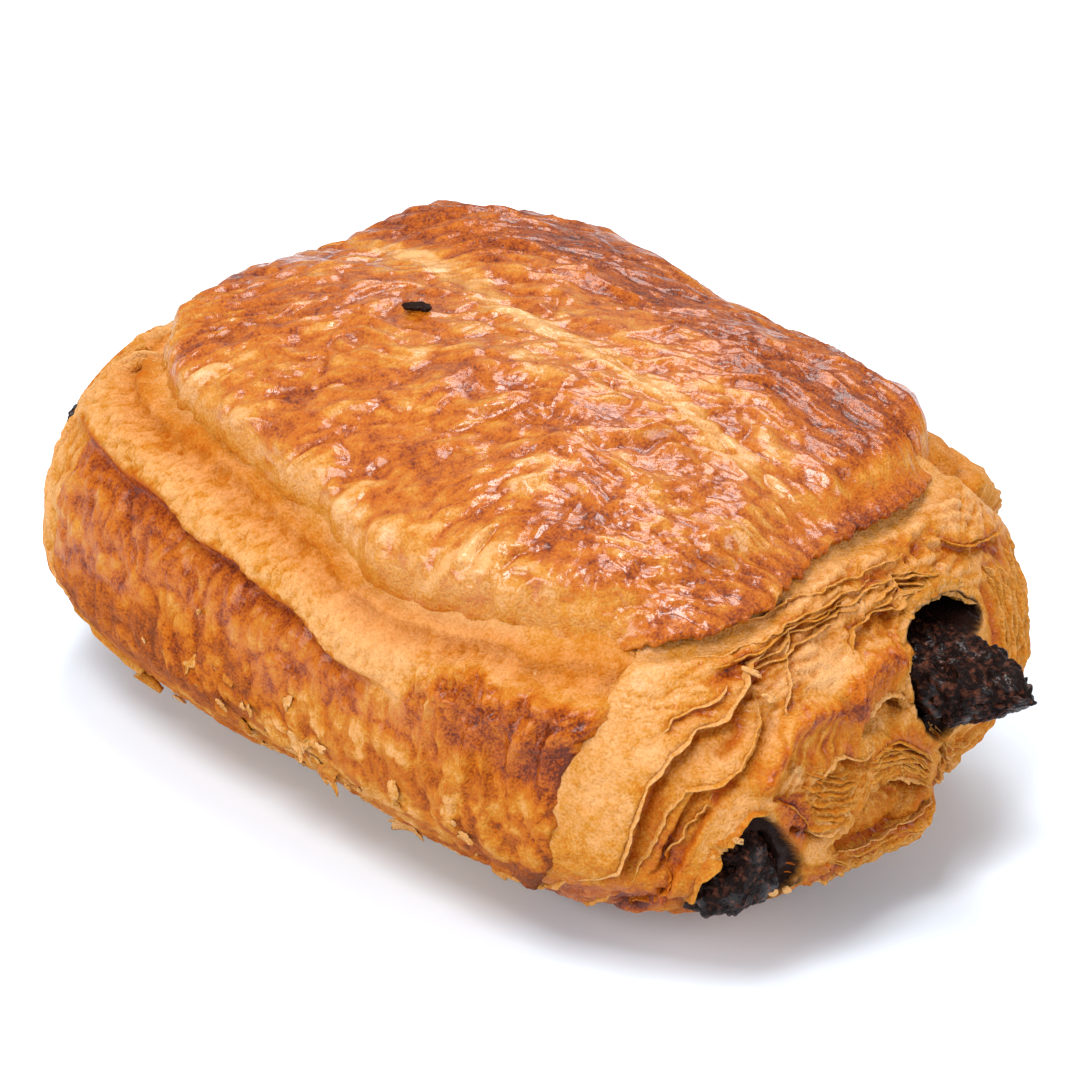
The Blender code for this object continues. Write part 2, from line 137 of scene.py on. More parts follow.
# Edges where one sheet of an end stops over the next. Each line runs with the upper sheet on its left.
# Lift is how far the edge stands up, drop how far the lower sheet lies under it, wide how far that
# sheet takes to come up again, and bake how much browner the edge is.
SHEET_EDGES = [
    {"lift": 0.5, "drop": 1.7, "wide": 2.0, "bake": 0.05, "line": [
        (-28.6, 12.0), (-27.8, 15.5), (-27.1, 19.2), (-25.7, 23.0), (-23.6, 25.4), (-21.1, 27.3),
        (-18.6, 28.0), (-16.8, 29.2), (-15.2, 30.6), (-13.0, 31.4), (-11.0, 32.0)]},
    {"lift": 0.25, "drop": 0.45, "wide": 0.8, "bake": 0.1, "line": [
        (-23.7, 26.9), (-22.4, 28.1), (-20.0, 28.9), (-18.6, 29.3), (-17.0, 30.2)]},
    {"lift": 0.3, "drop": 1.3, "wide": 1.9, "bake": 0.15, "line": [
        (-26.6, 13.0), (-25.6, 17.2), (-24.4, 20.5), (-23.1, 22.4), (-21.0, 22.9), (-19.0, 23.8),
        (-17.3, 25.4), (-15.8, 27.0), (-14.6, 28.8)]},
    {"lift": 0.4, "drop": 0.8, "wide": 1.2, "bake": 0.05, "line": [
        (-13.4, 27.2), (-12.2, 28.3), (-11.7, 29.3), (-10.8, 30.9), (-8.4, 32.2)]},
    {"lift": 0.5, "drop": 1.5, "wide": 1.2, "bake": 0.1, "line": [
        (-11.9, 20.9), (-10.5, 21.6), (-9.6, 22.2), (-8.3, 22.2), (-7.1, 21.3), (-5.7, 20.7), (-4.4, 20.7)]},
    {"lift": 0.35, "drop": 1.7, "wide": 0.9, "bake": 0.05, "line": [
        (-15.0, 18.0), (-14.2, 17.3), (-13.3, 17.1), (-12.2, 16.1), (-10.7, 15.8), (-9.2, 16.3)]},
    {"lift": 0.6, "drop": 2.6, "wide": 2.2, "bake": 0.05, "line": [
        (-5.4, 22.2), (-4.9, 23.5), (-4.2, 24.2), (-2.8, 24.9), (-1.3, 24.9), (0.4, 24.4), (1.3, 23.3),
        (2.0, 22.2)]},
    {"lift": 0.5, "drop": 1.5, "wide": 1.6, "bake": 0.1, "line": [
        (4.7, 13.0), (5.6, 14.8), (5.1, 17.1), (4.1, 19.5), (2.2, 21.6)]},
    {"lift": 0.45, "drop": 0.6, "wide": 0.6, "bake": 0.3, "line": [
        (-4.9, 20.0), (-3.6, 20.3), (-2.3, 20.5), (-0.6, 20.2), (0.9, 19.3), (2.7, 17.7), (3.8, 16.3)]},
    {"lift": 0.3, "drop": 0.5, "wide": 0.5, "bake": 0.25, "line": [
        (-5.2, 19.3), (-3.6, 19.6), (-2.2, 19.7), (-0.7, 19.3), (0.8, 18.4), (2.4, 17.0), (3.6, 15.5)]},
    {"lift": 0.3, "drop": 0.5, "wide": 0.5, "bake": 0.25, "line": [
        (-5.4, 18.6), (-3.8, 18.9), (-2.3, 18.9), (-0.8, 18.5), (0.6, 17.7), (2.2, 16.3), (3.4, 14.9)]},
    {"lift": 0.5, "drop": 3.2, "wide": 3.2, "bake": 0.1, "line": [
        (-10.9, 13.4), (-9.6, 14.5), (-8.4, 15.2), (-7.0, 15.8), (-6.0, 16.7), (-4.9, 17.4), (-2.6, 17.6),
        (-0.4, 16.8), (2.0, 15.4), (3.6, 14.1), (4.6, 12.8)]},
    {"lift": 0.6, "drop": 1.2, "wide": 2.0, "bake": 0.1, "line": [
        (5.2, 12.6), (4.9, 11.2), (2.5, 10.4), (0.2, 10.5), (-2.7, 10.6), (-5.8, 11.0), (-9.0, 12.2)]},
    {"lift": 0.35, "drop": 0.5, "wide": 0.6, "bake": 0.2, "line": [
        (-15.0, 13.4), (-10.1, 12.2), (-5.9, 10.2), (-1.9, 9.2), (2.1, 8.8), (5.4, 9.8)]},
    {"lift": 0.35, "drop": 0.5, "wide": 0.6, "bake": 0.2, "line": [
        (-14.4, 12.2), (-10.1, 11.0), (-5.9, 8.9), (-1.9, 7.9), (2.1, 7.5), (6.4, 8.8)]},
    {"lift": 0.35, "drop": 0.6, "wide": 0.8, "bake": 0.15, "line": [
        (-13.6, 10.6), (-9.6, 9.4), (-5.9, 7.4), (-1.9, 6.2), (2.5, 5.9), (6.8, 7.0)]},
    {"lift": 0.45, "drop": 1.6, "wide": 1.7, "bake": 0.2, "line": [
        (-3.8, 29.0), (-3.2, 29.9), (-2.1, 30.3), (0.1, 30.7), (2.7, 30.5), (3.6, 29.6)]},
    {"lift": 0.4, "drop": 0.9, "wide": 1.4, "bake": 0.25, "line": [
        (-18.2, 31.3), (-15.0, 31.6), (-13.4, 31.7), (-11.5, 32.1), (-9.5, 32.5), (-7.3, 32.3), (-4.6, 32.0),
        (-1.5, 32.6)]},
    {"lift": 0.7, "drop": 0.8, "wide": 1.2, "bake": 0.3, "line": [
        (12.4, 32.4), (13.6, 31.6), (15.3, 30.9), (18.7, 30.0), (22.0, 29.2)]},
    {"lift": 0.4, "drop": 0.6, "wide": 0.9, "bake": 0.15, "line": [
        (-20.8, 21.6), (-22.6, 19.4), (-24.0, 16.6), (-24.6, 13.4), (-24.2, 9.4), (-23.0, 6.6)]},
    {"lift": 0.45, "drop": 0.8, "wide": 1.2, "bake": 0.3, "line": [
        (-12.9, 15.6), (-13.6, 17.4), (-15.2, 19.6), (-17.0, 20.8)]},
    {"lift": 0.5, "drop": 1.4, "wide": 1.4, "bake": 0.15, "line": [
        (6.4, 18.6), (7.2, 16.0), (6.6, 14.0), (8.0, 12.0), (9.6, 13.6), (9.2, 16.5)]},
]

# Creases between rounded sheets, and raised folds: lines on the near end, with rise, or depth below 0,
# and width.
CREASES = [
    {"rise": -0.65, "wide": 0.6, "line": [(16.6, 17.6), (17.6, 21.5), (18.1, 25.1), (17.4, 28.8)]},
    {"rise": -0.65, "wide": 0.6, "line": [
        (18.6, 15.5), (20.1, 19.5), (21.0, 23.5), (21.0, 27.0), (19.6, 30.0)]},
    {"rise": -0.65, "wide": 0.6, "line": [
        (20.6, 13.5), (22.6, 17.5), (23.6, 22.5), (23.6, 26.5), (22.0, 30.0)]},
    {"rise": -0.65, "wide": 0.6, "line": [(22.6, 12.0), (25.0, 16.5), (26.0, 21.5), (25.8, 26.0)]},
    {"rise": -0.5, "wide": 0.5, "line": [(14.8, 19.0), (16.0, 22.0), (16.3, 25.5), (15.4, 28.0)]},
    {"rise": 0.3, "wide": 0.3, "line": [(-29.0, 20.4), (-28.7, 17.4), (-28.2, 14.4)]},
    {"rise": -0.35, "wide": 0.5, "line": [(-20.6, 25.0), (-18.8, 26.2), (-16.9, 27.6)]},
    {"rise": -0.3, "wide": 0.45, "line": [(-21.6, 20.8), (-20.6, 22.2), (-19.2, 22.9)]},
]
BROWN_FOLD = {"rise": 1.7, "wide": 1.1, "line": [
    (-18.2, 20.9), (-17.4, 22.4), (-15.7, 23.9), (-14.5, 24.9), (-12.8, 25.8), (-11.0, 26.0), (-8.8, 25.8),
    (-7.0, 25.4)]}
UPPER_FOLD = {"rise": 1.5, "wide": 1.3, "line": [
    (-7.0, 25.2), (-5.4, 26.1), (-3.7, 26.9), (-2.0, 27.3), (0.0, 27.0), (1.8, 26.0)]}

# Broad dents and swellings of an end, as on its solid: (across, height, size, rise).
END_LUMPS = [(-10.5, 4.5, 4.0, -1.3), (3.5, 10.0, 3.5, 1.1), (8.5, 13.0, 3.0, -1.2)]

# Zones of thin pages: middle, half sizes, tilt of the pages in degrees, pitch and depth.
PAGES = [
    {"across": -10.4, "height": 18.8, "long": 5.6, "short": 2.6, "tilt": -23, "pitch": 0.66, "deep": 0.55},
    {"across": -23.0, "height": 6.5, "long": 7.0, "short": 6.0, "tilt": -52, "pitch": 2.1, "deep": 0.9},
    {"across": -3.0, "height": 8.0, "long": 11.0, "short": 3.6, "tilt": -14, "pitch": 0.95, "deep": 0.3},
    {"across": 12.0, "height": 11.0, "long": 8.0, "short": 5.5, "tilt": 40, "pitch": 1.3, "deep": 0.5},
    {"across": 16.5, "height": 33.0, "long": 9.0, "short": 1.4, "tilt": -20, "pitch": 0.8, "deep": 0.3},
    {"across": -6.0, "height": 31.4, "long": 15.0, "short": 3.2, "tilt": 6, "pitch": 1.35, "deep": 0.5},
    {"across": -13.0, "height": 23.5, "long": 5.5, "short": 5.0, "tilt": 52, "pitch": 1.2, "deep": 0.28},
    {"across": -2.0, "height": 17.0, "long": 7.5, "short": 3.4, "tilt": -34, "pitch": 0.7, "deep": 0.35},
]

# Thin leaves that stand on the ends beside the sheet edges, in families of nearly even lines:
# first line, last line, how many, height, how far they lean over, and bake.
LEAF_FAMILIES = [
    {"count": 8, "tall": 0.5, "lean": 0.9, "bake": 0.54,
     "first": [(-13.6, 22.4), (-11.5, 21.6), (-8.5, 20.4), (-5.4, 19.6)],
     "last": [(-13.2, 17.2), (-12.0, 16.9), (-10.2, 16.6), (-8.4, 16.5)]},
    {"count": 8, "tall": 0.55, "lean": 0.6, "bake": 0.50,
     "first": [(-5.6, 20.2), (-3.0, 20.6), (0.0, 19.9), (2.8, 17.9), (4.4, 15.6)],
     "last": [(-6.0, 17.6), (-3.4, 18.0), (-0.6, 17.5), (2.2, 16.0), (4.0, 14.2)]},
    {"count": 11, "tall": 0.6, "lean": 0.6, "bake": 0.46,
     "first": [(-10.1, 12.9), (-5.5, 11.4), (-1.5, 10.7), (2.6, 10.8), (5.6, 11.8)],
     "last": [(-7.4, 5.0), (-4.0, 4.0), (1.0, 3.6), (6.0, 4.8), (9.0, 6.5)]},
    {"count": 5, "tall": 0.55, "lean": 0.6, "bake": 0.36,
     "first": [(-19.0, 32.4), (-13.0, 32.9), (-6.0, 33.6), (2.0, 33.2), (9.0, 32.6)],
     "last": [(-15.2, 30.2), (-10.0, 30.9), (-5.0, 31.3), (-1.0, 31.3)]},
    {"count": 11, "tall": 0.6, "lean": 0.5, "bake": 0.44,
     "first": [(16.2, 19.0), (17.2, 22.5), (17.4, 26.0), (16.6, 28.6)],
     "last": [(24.6, 13.0), (26.6, 18.0), (26.8, 23.0), (25.6, 27.0)]},
    {"count": 6, "tall": 0.45, "lean": 0.8, "bake": 0.44,
     "first": [(-15.4, 5.0), (-17.6, 8.2), (-20.2, 11.0)],
     "last": [(-24.4, 3.6), (-27.0, 7.0), (-28.6, 11.0)]},
    {"count": 7, "tall": 0.55, "lean": 0.7, "bake": 0.42,
     "first": [(5.8, 19.4), (7.0, 16.4), (9.4, 14.4), (12.4, 13.6)],
     "last": [(7.4, 9.0), (10.0, 7.4), (13.4, 7.4), (17.0, 9.0)]},
    {"count": 7, "tall": 0.6, "lean": 0.5, "bake": 0.38,
     "first": [(-1.5, 31.6), (2.0, 32.2), (6.0, 31.8), (10.0, 30.6), (13.4, 29.0)],
     "last": [(3.2, 28.9), (6.0, 29.4), (9.6, 28.9), (13.0, 27.2), (15.6, 24.8)]},
]

# Loose flakes in view on the near end: (across, height, length, width, thickness, bake).
SEEN_FLAKES = [
    (-15.4, 30.6, 2.2, 0.6, 0.3, 0.08), (-14.3, 28.6, 1.2, 0.8, 0.4, 0.1), (-13.6, 24.4, 0.9, 0.6, 0.3, 0.1),
    (-12.9, 22.8, 0.8, 0.5, 0.3, 0.1), (-15.3, 11.5, 1.1, 0.8, 0.6, 0.0), (-13.7, 11.0, 1.0, 0.9, 0.6, 0.0),
    (-19.4, 17.9, 1.0, 0.6, 0.4, 0.12),
]

# Browned and pale places of the near end: middle, half sizes, change of bake.
END_PATCHES = [
    (-10.0, 23.9, 5.5, 2.3, 0.26), (-10.4, 18.8, 6.0, 3.0, 0.16), (-3.5, 25.6, 4.5, 2.0, 0.24),
    (0.5, 18.6, 5.5, 2.6, 0.18), (-2.5, 14.0, 7.0, 2.6, 0.14), (-2.6, 23.0, 2.6, 1.4, 0.02),
    (-22.0, 8.0, 7.5, 5.0, 0.2), (-3.0, 8.0, 12.0, 3.0, 0.2), (20.0, 22.0, 6.0, 9.0, 0.17),
    (-15.0, 16.5, 2.4, 4.0, 0.28), (-15.5, 31.0, 4.0, 1.2, 0.2), (-25.5, 20.0, 1.2, 4.0, 0.16),
    (7.0, 31.6, 8.0, 2.4, 0.12), (-6.6, 29.2, 3.6, 1.8, -0.22), (-15.8, 25.9, 2.0, 1.8, -0.16),
    (12.0, 12.0, 8.0, 4.0, 0.22), (-22.5, 25.0, 3.4, 1.6, -0.08), (17.6, 31.8, 4.6, 1.6, -0.08),
    (2.0, 26.9, 2.6, 1.2, 0.16),
]

# The cap's colour: stripes and patches in plan as (along, across, half length, half width, turn, change).
CAP_PATCHES = [
    (-19.0, 2.4, 15.0, 1.5, -10, -0.40), (12.0, -0.8, 20.0, 1.4, 1, -0.42),
    (-12.0, -26.5, 22.0, 2.2, 0, -0.20), (-32.0, -10.0, 4.0, 6.0, 0, 0.12),
    (-18.0, -23.0, 5.0, 3.2, 10, -0.20), (-9.0, -22.0, 2.4, 4.5, 20, 0.12), (3.0, -22.0, 6.0, 3.0, 20, 0.10),
    (-25.0, -20.0, 6.0, 2.4, 40, 0.22), (27.0, -24.5, 9.5, 2.6, 0, -0.20), (34.0, -19.5, 4.0, 2.4, 40, 0.08),
    (37.0, -14.0, 2.4, 6.0, 10, 0.06), (37.0, 6.0, 2.8, 9.0, 0, 0.14), (31.0, 14.0, 6.0, 5.0, 0, 0.12),
    (10.0, -10.0, 14.0, 3.0, 12, 0.10), (-20.0, -12.0, 8.0, 5.0, 30, 0.12), (-2.0, 8.0, 10.0, 3.0, 0, -0.04),
    (8.0, -16.0, 3.0, 1.6, 40, -0.22), (1.0, -17.5, 2.6, 1.4, 30, -0.24), (18.0, -15.0, 2.6, 1.3, 30, -0.18),
    (-8.0, 14.0, 9.0, 4.0, 0, 0.12), (17.0, 11.0, 8.0, 3.0, 0, 0.10), (24.0, 4.5, 4.0, 1.6, 0, -0.12),
    (-4.0, -12.0, 3.0, 1.5, 50, -0.16), (5.0, -6.0, 3.0, 1.2, 20, -0.14), (-30.0, 8.0, 5.0, 4.0, 20, 0.10),
    (14.0, -25.0, 5.0, 2.6, 0, -0.10), (41.0, 14.0, 3.6, 9.0, 0, 0.12), (23.0, -17.0, 4.0, 5.0, 30, 0.12),
]

# Browned and pale places of the long side in view: (along, height, half length, half height, change).
SIDE_PATCHES = [
    (-22.0, 24.0, 9.0, 3.2, 0.06), (-8.0, 22.0, 6.0, 3.0, 0.04), (-14.0, 26.6, 3.0, 1.6, -0.18),
    (24.0, 25.0, 3.0, 4.5, 0.14), (28.0, 21.0, 3.6, 3.4, 0.05), (34.0, 25.0, 2.0, 4.5, 0.16),
    (13.0, 22.5, 4.5, 2.2, -0.25), (12.0, 28.0, 6.0, 2.4, -0.16), (29.0, 29.2, 5.0, 1.0, -0.1),
    (20.0, 31.0, 9.0, 1.4, -0.2), (-20.0, 14.5, 17.0, 5.0, 0.24), (30.0, 10.0, 12.0, 5.0, 0.16),
    (38.0, 8.0, 8.0, 5.0, 0.16), (8.0, 26.0, 8.0, 3.4, -0.10), (-10.0, 16.0, 13.0, 4.5, 0.18),
    (28.6, 22.0, 5.0, 5.0, 0.08), (17.4, 28.6, 7.0, 2.6, -0.05),
]


# Easing and seeded noise.

def smooth_step(share):
    """0 below 0, 1 above 1 and a smooth rise between."""
    share = np.clip(share, 0, 1)
    return share * share * (3 - 2 * share)


def bump(distance, width):
    """1 at distance 0, falling to nothing over about two widths."""
    return np.exp(-((distance / width) ** 2))


def eased(angle, knots):
    """A value that runs smoothly round the plan through knots, which give it by degrees."""
    turns = np.degrees(angle) % 360
    degrees = sorted(knots)
    stops = np.array(degrees + [degrees[0] + 360])
    values = np.array([knots[d] for d in degrees] + [knots[degrees[0]]])
    turns = np.where(turns < stops[0], turns + 360, turns)
    place = np.clip(np.searchsorted(stops, turns, side="right") - 1, 0, len(degrees) - 1)
    share = smooth_step((turns - stops[place]) / (stops[place + 1] - stops[place]))
    return values[place] * (1 - share) + values[place + 1] * share


SLOPES = np.random.RandomState(NOISE_SEED).normal(size=(1024, 3))
SLOPES /= np.linalg.norm(SLOPES, axis=1, keepdims=True)


def lumps(points, size, seed):
    """Seeded smooth noise from about -1 to 1. Size is the lump size, or one for each axis."""
    place = points / np.asarray(size, float) + seed * np.array([7.31, 3.17, 5.77])
    cell = np.floor(place).astype(np.int64)
    part = place - cell
    fade = part**3 * (part * (part * 6 - 15) + 10)
    total = np.zeros(len(points))
    for corner in range(8):
        step = np.array([corner & 1, corner >> 1 & 1, corner >> 2 & 1])
        at = cell + step
        key = (at[:, 0] * 73856093) ^ (at[:, 1] * 19349663) ^ (at[:, 2] * 83492791)
        key = (key ^ (key >> 11)) * 668265263
        slope = SLOPES[(key ^ (key >> 15)) & 1023]
        weight = np.prod(np.where(step, fade, 1 - fade), axis=1)
        total += weight * np.einsum("ij,ij->i", slope, part - step)
    return total * 1.7


def cloud(points, size, seed, octaves=3, keep=0.5):
    """Noise with smaller and smaller lumps on it."""
    size = np.asarray(size, float)
    total = 0
    for octave in range(octaves):
        total = total + keep**octave * lumps(points, size / 2**octave, seed + 1.7 * octave)
    return total


def crests(points, size, seed, sharp=2.0):
    """Noise from 0 to 1 with narrow raised lines, like the wrinkles of a dried skin."""
    return np.clip(1 - np.abs(lumps(points, size, seed)) * 1.6, 0, 1) ** sharp


def puckers(points, size, seed):
    """Noise from 0 to 1 with rounded tops and narrow valleys, like a loose skin."""
    return np.clip(np.abs(lumps(points, size, seed)) * 2.1, 0, 1) ** 0.75


# The plain pillow.

def pillow(angle, climb):
    """Points of the plain pillow. Climb runs from -pi/2, under the middle, to pi/2, the crown."""
    squareness = eased(angle, PLAN_SQUARENESS)
    along = np.abs(np.cos(angle)) / (LENGTH / 2)
    across = np.abs(np.sin(angle)) / (WIDTH / 2)
    reach = (along**squareness + across**squareness) ** (-1 / squareness)
    rising = climb > 0
    squareness = np.where(rising, eased(angle, CROWN_SQUARENESS), eased(angle, BASE_SQUARENESS))
    reach = reach * np.maximum(np.cos(climb), 0) ** (2 / squareness)
    upward = np.abs(np.sin(climb)) ** (2 / squareness)
    height = BELLY_HEIGHT + np.where(rising, HEIGHT - BELLY_HEIGHT, -BASE_DROP) * upward
    along = reach * np.cos(angle)
    across = reach * np.sin(angle)
    along = along + NEAR_END_SKEW * across * smooth_step(2 * along / LENGTH)
    return np.stack([along, across, height], axis=-1)


def pillow_normals(angle, climb):
    """Unit vectors out of the plain pillow, found from points beside each point."""
    step = 1e-3
    climb = np.clip(climb, -math.pi / 2 + 3 * step, math.pi / 2 - 3 * step)
    round_plan = pillow(angle + step, climb) - pillow(angle - step, climb)
    upward = pillow(angle, climb + step) - pillow(angle, climb - step)
    normals = np.cross(round_plan, upward)
    return normals / np.linalg.norm(normals, axis=-1, keepdims=True)


def climb_at(angle, height):
    """The climb at which the plain pillow reaches a height above its belly."""
    share = (height - BELLY_HEIGHT) / (HEIGHT - BELLY_HEIGHT)
    return np.arcsin(share ** (eased(angle, CROWN_SQUARENESS) / 2))


def rim_angle(height):
    """Plan angle from an end's axis, in degrees, where the side skin stops."""
    heights, angles = zip(*RIM_ANGLES)
    return np.interp(height, heights, angles)


def plan_angle(points):
    """Plan angle of points from the nearer end's axis, in degrees."""
    return np.degrees(np.arctan2(np.abs(points[:, 1]), np.abs(points[:, 0])))


def broad_swell(points):
    """Broad swellings that run over the ends and the sides alike."""
    return 0.4 * lumps(points, 12, 7.7) * smooth_step(points[:, 2] / 3)


def even_angles(start, stop, count, finer=None):
    """Plan angles in radians whose columns are evenly far apart on the belly, or finer where asked."""
    fine = np.linspace(math.radians(start), math.radians(stop), 3001)
    outline = pillow(fine, np.zeros_like(fine))
    steps = np.linalg.norm(np.diff(outline, axis=0), axis=1)
    if finer is not None:
        steps *= finer((outline[1:] + outline[:-1]) / 2)
    travelled = np.concatenate([[0], np.cumsum(steps)])
    return np.interp(np.linspace(0, travelled[-1], count), travelled, fine)


def even_climbs(angles, count, over_lip):
    """Climbs of rows evenly far apart on each column, from the lowest to this far over the lip."""
    shares = np.linspace(0, 1, 240)
    top = climb_at(angles, eased(angles, LIP_HEIGHTS) + over_lip)
    climbs = LOWEST_CLIMB + (top[:, None] - LOWEST_CLIMB) * shares
    points = pillow(angles[:, None] + 0 * climbs, climbs)
    steps = np.linalg.norm(np.diff(points, axis=1), axis=2)
    travelled = np.concatenate([np.zeros((len(angles), 1)), np.cumsum(steps, axis=1)], axis=1)
    return np.stack([np.interp(np.linspace(0, t[-1], count), t, c) for t, c in zip(travelled, climbs)])


# Relief of the ends.

def line_field(across, height, line):
    """Signed distance from a line on an end, more than 0 on its left, and how far along it from 0 to 1."""
    line = np.array(line, float)
    lengths = np.linalg.norm(np.diff(line, axis=0), axis=1)
    starts = np.concatenate([[0], np.cumsum(lengths)])
    best = np.full(across.shape, 1e9)
    side = np.zeros(across.shape)
    along = np.zeros(across.shape)
    for start, end, length, travelled in zip(line[:-1], line[1:], lengths, starts):
        run = (end - start) / length
        offset_a = across - start[0]
        offset_h = height - start[1]
        reach = np.clip(offset_a * run[0] + offset_h * run[1], 0, length)
        gap_a = offset_a - reach * run[0]
        gap_h = offset_h - reach * run[1]
        distance = np.hypot(gap_a, gap_h)
        nearer = distance < best
        best = np.where(nearer, distance, best)
        side = np.where(nearer, np.sign(offset_h * run[0] - offset_a * run[1]), side)
        along = np.where(nearer, (travelled + reach) / starts[-1], along)
    return best * side, along


def ends_faded(along, share):
    """1 along a line, falling to 0 over this share of it at each end."""
    return smooth_step(along / share) * smooth_step((1 - along) / share)


def patches(right, up, uneven, places):
    """Change of bake at oval places with uneven outlines: middle, half sizes and change of each."""
    total = 0
    for middle_right, middle_up, half_right, half_up, change in places:
        reach = ((right - middle_right) / half_right) ** 2 + ((up - middle_up) / half_up) ** 2
        total = total + change * smooth_step(1.5 - (reach + uneven))
    return total


def page_rise(turn, full=0.70, drop=0.75):
    """For each turn a slow rise to 1 and a quick drop, like a page that ends over the next."""
    part = turn % 1
    return smooth_step(part / full) - smooth_step((part - drop) / (1 - drop))


def far_shift(points):
    """How far, across and up, the far end's folds lie from the near end's."""
    left = bump(points[:, 1] + 16, 9)
    return 2.0 * lumps(points, 14, 4.1) + 3.0 * left, 2.0 * lumps(points, 14, 9.2) - 4.0 * left


class EndRelief:
    """Rise, sideways pull, bake and crease of each point of an end, summed over its sheets. Crease is painted
    shade in the hollows, and part of the bake is too.
    """

    def __init__(self, points, far):
        self.points = points
        over, up = far_shift(points) if far else (0, 0)
        self.across = points[:, 1] + over
        self.height = points[:, 2] + up
        self.rise = np.zeros(len(points))
        self.pull = np.zeros((len(points), 2))
        self.bake = np.zeros(len(points))
        self.crease = np.zeros(len(points))

    def sheet_edge(self, edge, ragged):
        """One sheet that stops over the next."""
        signed, along = line_field(self.across, self.height, edge["line"])
        signed = signed + ragged
        keep = ends_faded(along, 0.12)
        upper = smooth_step(signed / 0.36 + 0.5)
        above, below = np.maximum(signed, 0), np.minimum(signed, 0)
        up = edge["lift"] * np.exp(-above / (0.7 * edge["wide"]))
        down = edge["drop"] * np.exp(below / edge["wide"])
        self.rise += keep * (upper * up - (1 - upper) * down)
        lip = keep * upper * np.exp(-above / 0.5) * min(0.55, 0.4 * edge["drop"] + 0.1)
        run = np.subtract(edge["line"][-1], edge["line"][0])
        run /= np.linalg.norm(run)
        self.pull += lip[:, None] * np.array([run[1], -run[0]])
        self.bake += keep * edge["bake"] * np.exp(-np.abs(signed - 0.1) / 0.55)
        # Painted shade: just under the edge the lower sheet is baked darker and takes the crease tint.
        self.bake += keep * 0.22 * (1 - upper) * np.exp(below / (0.6 * edge["wide"]))
        self.crease += keep * (1 - upper) * np.exp(below / (0.35 * edge["wide"] + 0.2))

    def fold(self, fold, bake=0.0):
        """A raised fold, or a crease between two sheets."""
        signed, along = line_field(self.across, self.height, fold["line"])
        signed = signed + 0.45 * lumps(self.points, 3.6, 35.5)
        keep = ends_faded(along, 0.12) * bump(signed, fold["wide"])
        self.rise += fold["rise"] * keep
        self.bake += bake * keep
        # Painted shade: a crease takes the crease tint and a darker bake.
        if fold["rise"] < 0:
            self.crease += 0.8 * keep
            self.bake += 0.22 * keep

    def pages(self, zone, seed):
        """Thin pages that end one under the other."""
        tilt = math.radians(zone["tilt"])
        across = self.across - zone["across"]
        height = self.height - zone["height"]
        along = across * math.cos(tilt) + height * math.sin(tilt)
        over = height * math.cos(tilt) - across * math.sin(tilt)
        inside = smooth_step(1.25 * (1.15 - (along / zone["long"]) ** 2 - (over / zone["short"]) ** 2))
        warp = np.stack([along, over, 0 * over], axis=1)
        over = over + 0.75 * zone["pitch"] * lumps(warp, (3.2, 2.2, 1), seed)
        over += 0.25 * zone["pitch"] * lumps(warp, (0.9, 1.2, 1), seed + 3)
        page = page_rise(over / zone["pitch"])
        strength = 0.65 + 0.5 * lumps(warp, (2.6, 1.3, 1), seed + 5)
        self.rise += zone["deep"] * inside * (page - 0.5) * strength
        # Painted shade: each page takes the crease tint and a darker bake where it dips under the next, and
        # is paler where it rises.
        self.crease += 0.6 * inside * (1 - page) * strength
        self.bake += 0.22 * inside * (0.45 - page)

    def fine_sheets(self):
        """Faint laminations that follow the roll all over an end."""
        left, right = (np.hypot(self.across - baton["across"], self.height - baton["height"])
                       for baton in (LEFT_BATON, RIGHT_BATON))
        distance = np.minimum(left, right * 0.95) + 0.9 * lumps(self.points, 6, 21.5)
        distance += 0.25 * lumps(self.points, 1.5, 23.5)
        page = page_rise(distance / 0.95)
        patchy = smooth_step(0.5 + 1.3 * lumps(self.points, 5, 27.5))
        patchy *= 0.35 + 0.65 * smooth_step((self.across + 12) / 8)
        self.rise += 0.2 * patchy * (page - 0.5)
        # Painted shade in the low part of each lamination.
        self.crease += 0.22 * patchy * (1 - page)

    def blisters(self):
        """Small blisters on the brown fold, darker on their tops."""
        place = bump(self.across + 9.4, 4.2) * bump(self.height - 23.6, 2.0)
        self.rise += 0.5 * place * cloud(self.points, 1.7, 61.5, 2)
        self.bake += 0.5 * place * np.maximum(lumps(self.points, 1.9, 63.5), 0)

    def lattice(self):
        """Open dough with small holes, over the right baton."""
        place = bump(self.across - 5.0, 7.5) * bump(self.height - 31.8, 2.2)
        holes = lumps(self.points, 2.0, 65.5) + 0.35 * lumps(self.points, 0.8, 66.5)
        holes = place * smooth_step((holes - 0.12) / 0.3)
        self.rise -= 1.3 * holes
        # Painted shade: the holes take the crease tint and a darker bake.
        self.crease += 0.7 * holes
        self.bake += 0.16 * holes

    def wrinkles(self):
        """Wrung skin high on the end and small puckers all over, browner in their valleys."""
        high = smooth_step((self.height - 26) / 3) * smooth_step((self.across + 27) / 5)
        slant = np.stack([self.across + 0.1 * self.height,
                          self.height + 0.9 * lumps(self.points, 5, 67.5), 0 * high], axis=1)
        wrung, small = puckers(slant, (5.5, 1.1, 1), 69.5), puckers(self.points, (1.3, 1.3, 1.1), 68.5)
        calm = 1 - 0.65 * smooth_step((self.across - 16) / 6)
        self.rise += calm * (high * 0.36 * (wrung - 0.5) + 0.10 * (small - 0.5))
        self.bake += high * (0.40 * (1 - wrung) ** 2 - 0.09) + 0.12 * (1 - small) ** 2 - 0.05
        self.rise += 0.07 * lumps(self.points, 0.8, 73.5) + 0.10 * cloud(self.points, 2.6, 75.5, 2)

    def dents(self):
        """The broad dents and swellings."""
        for across, height, size, rise in END_LUMPS:
            self.rise += rise * bump(np.hypot(self.across - across, self.height - height), size)


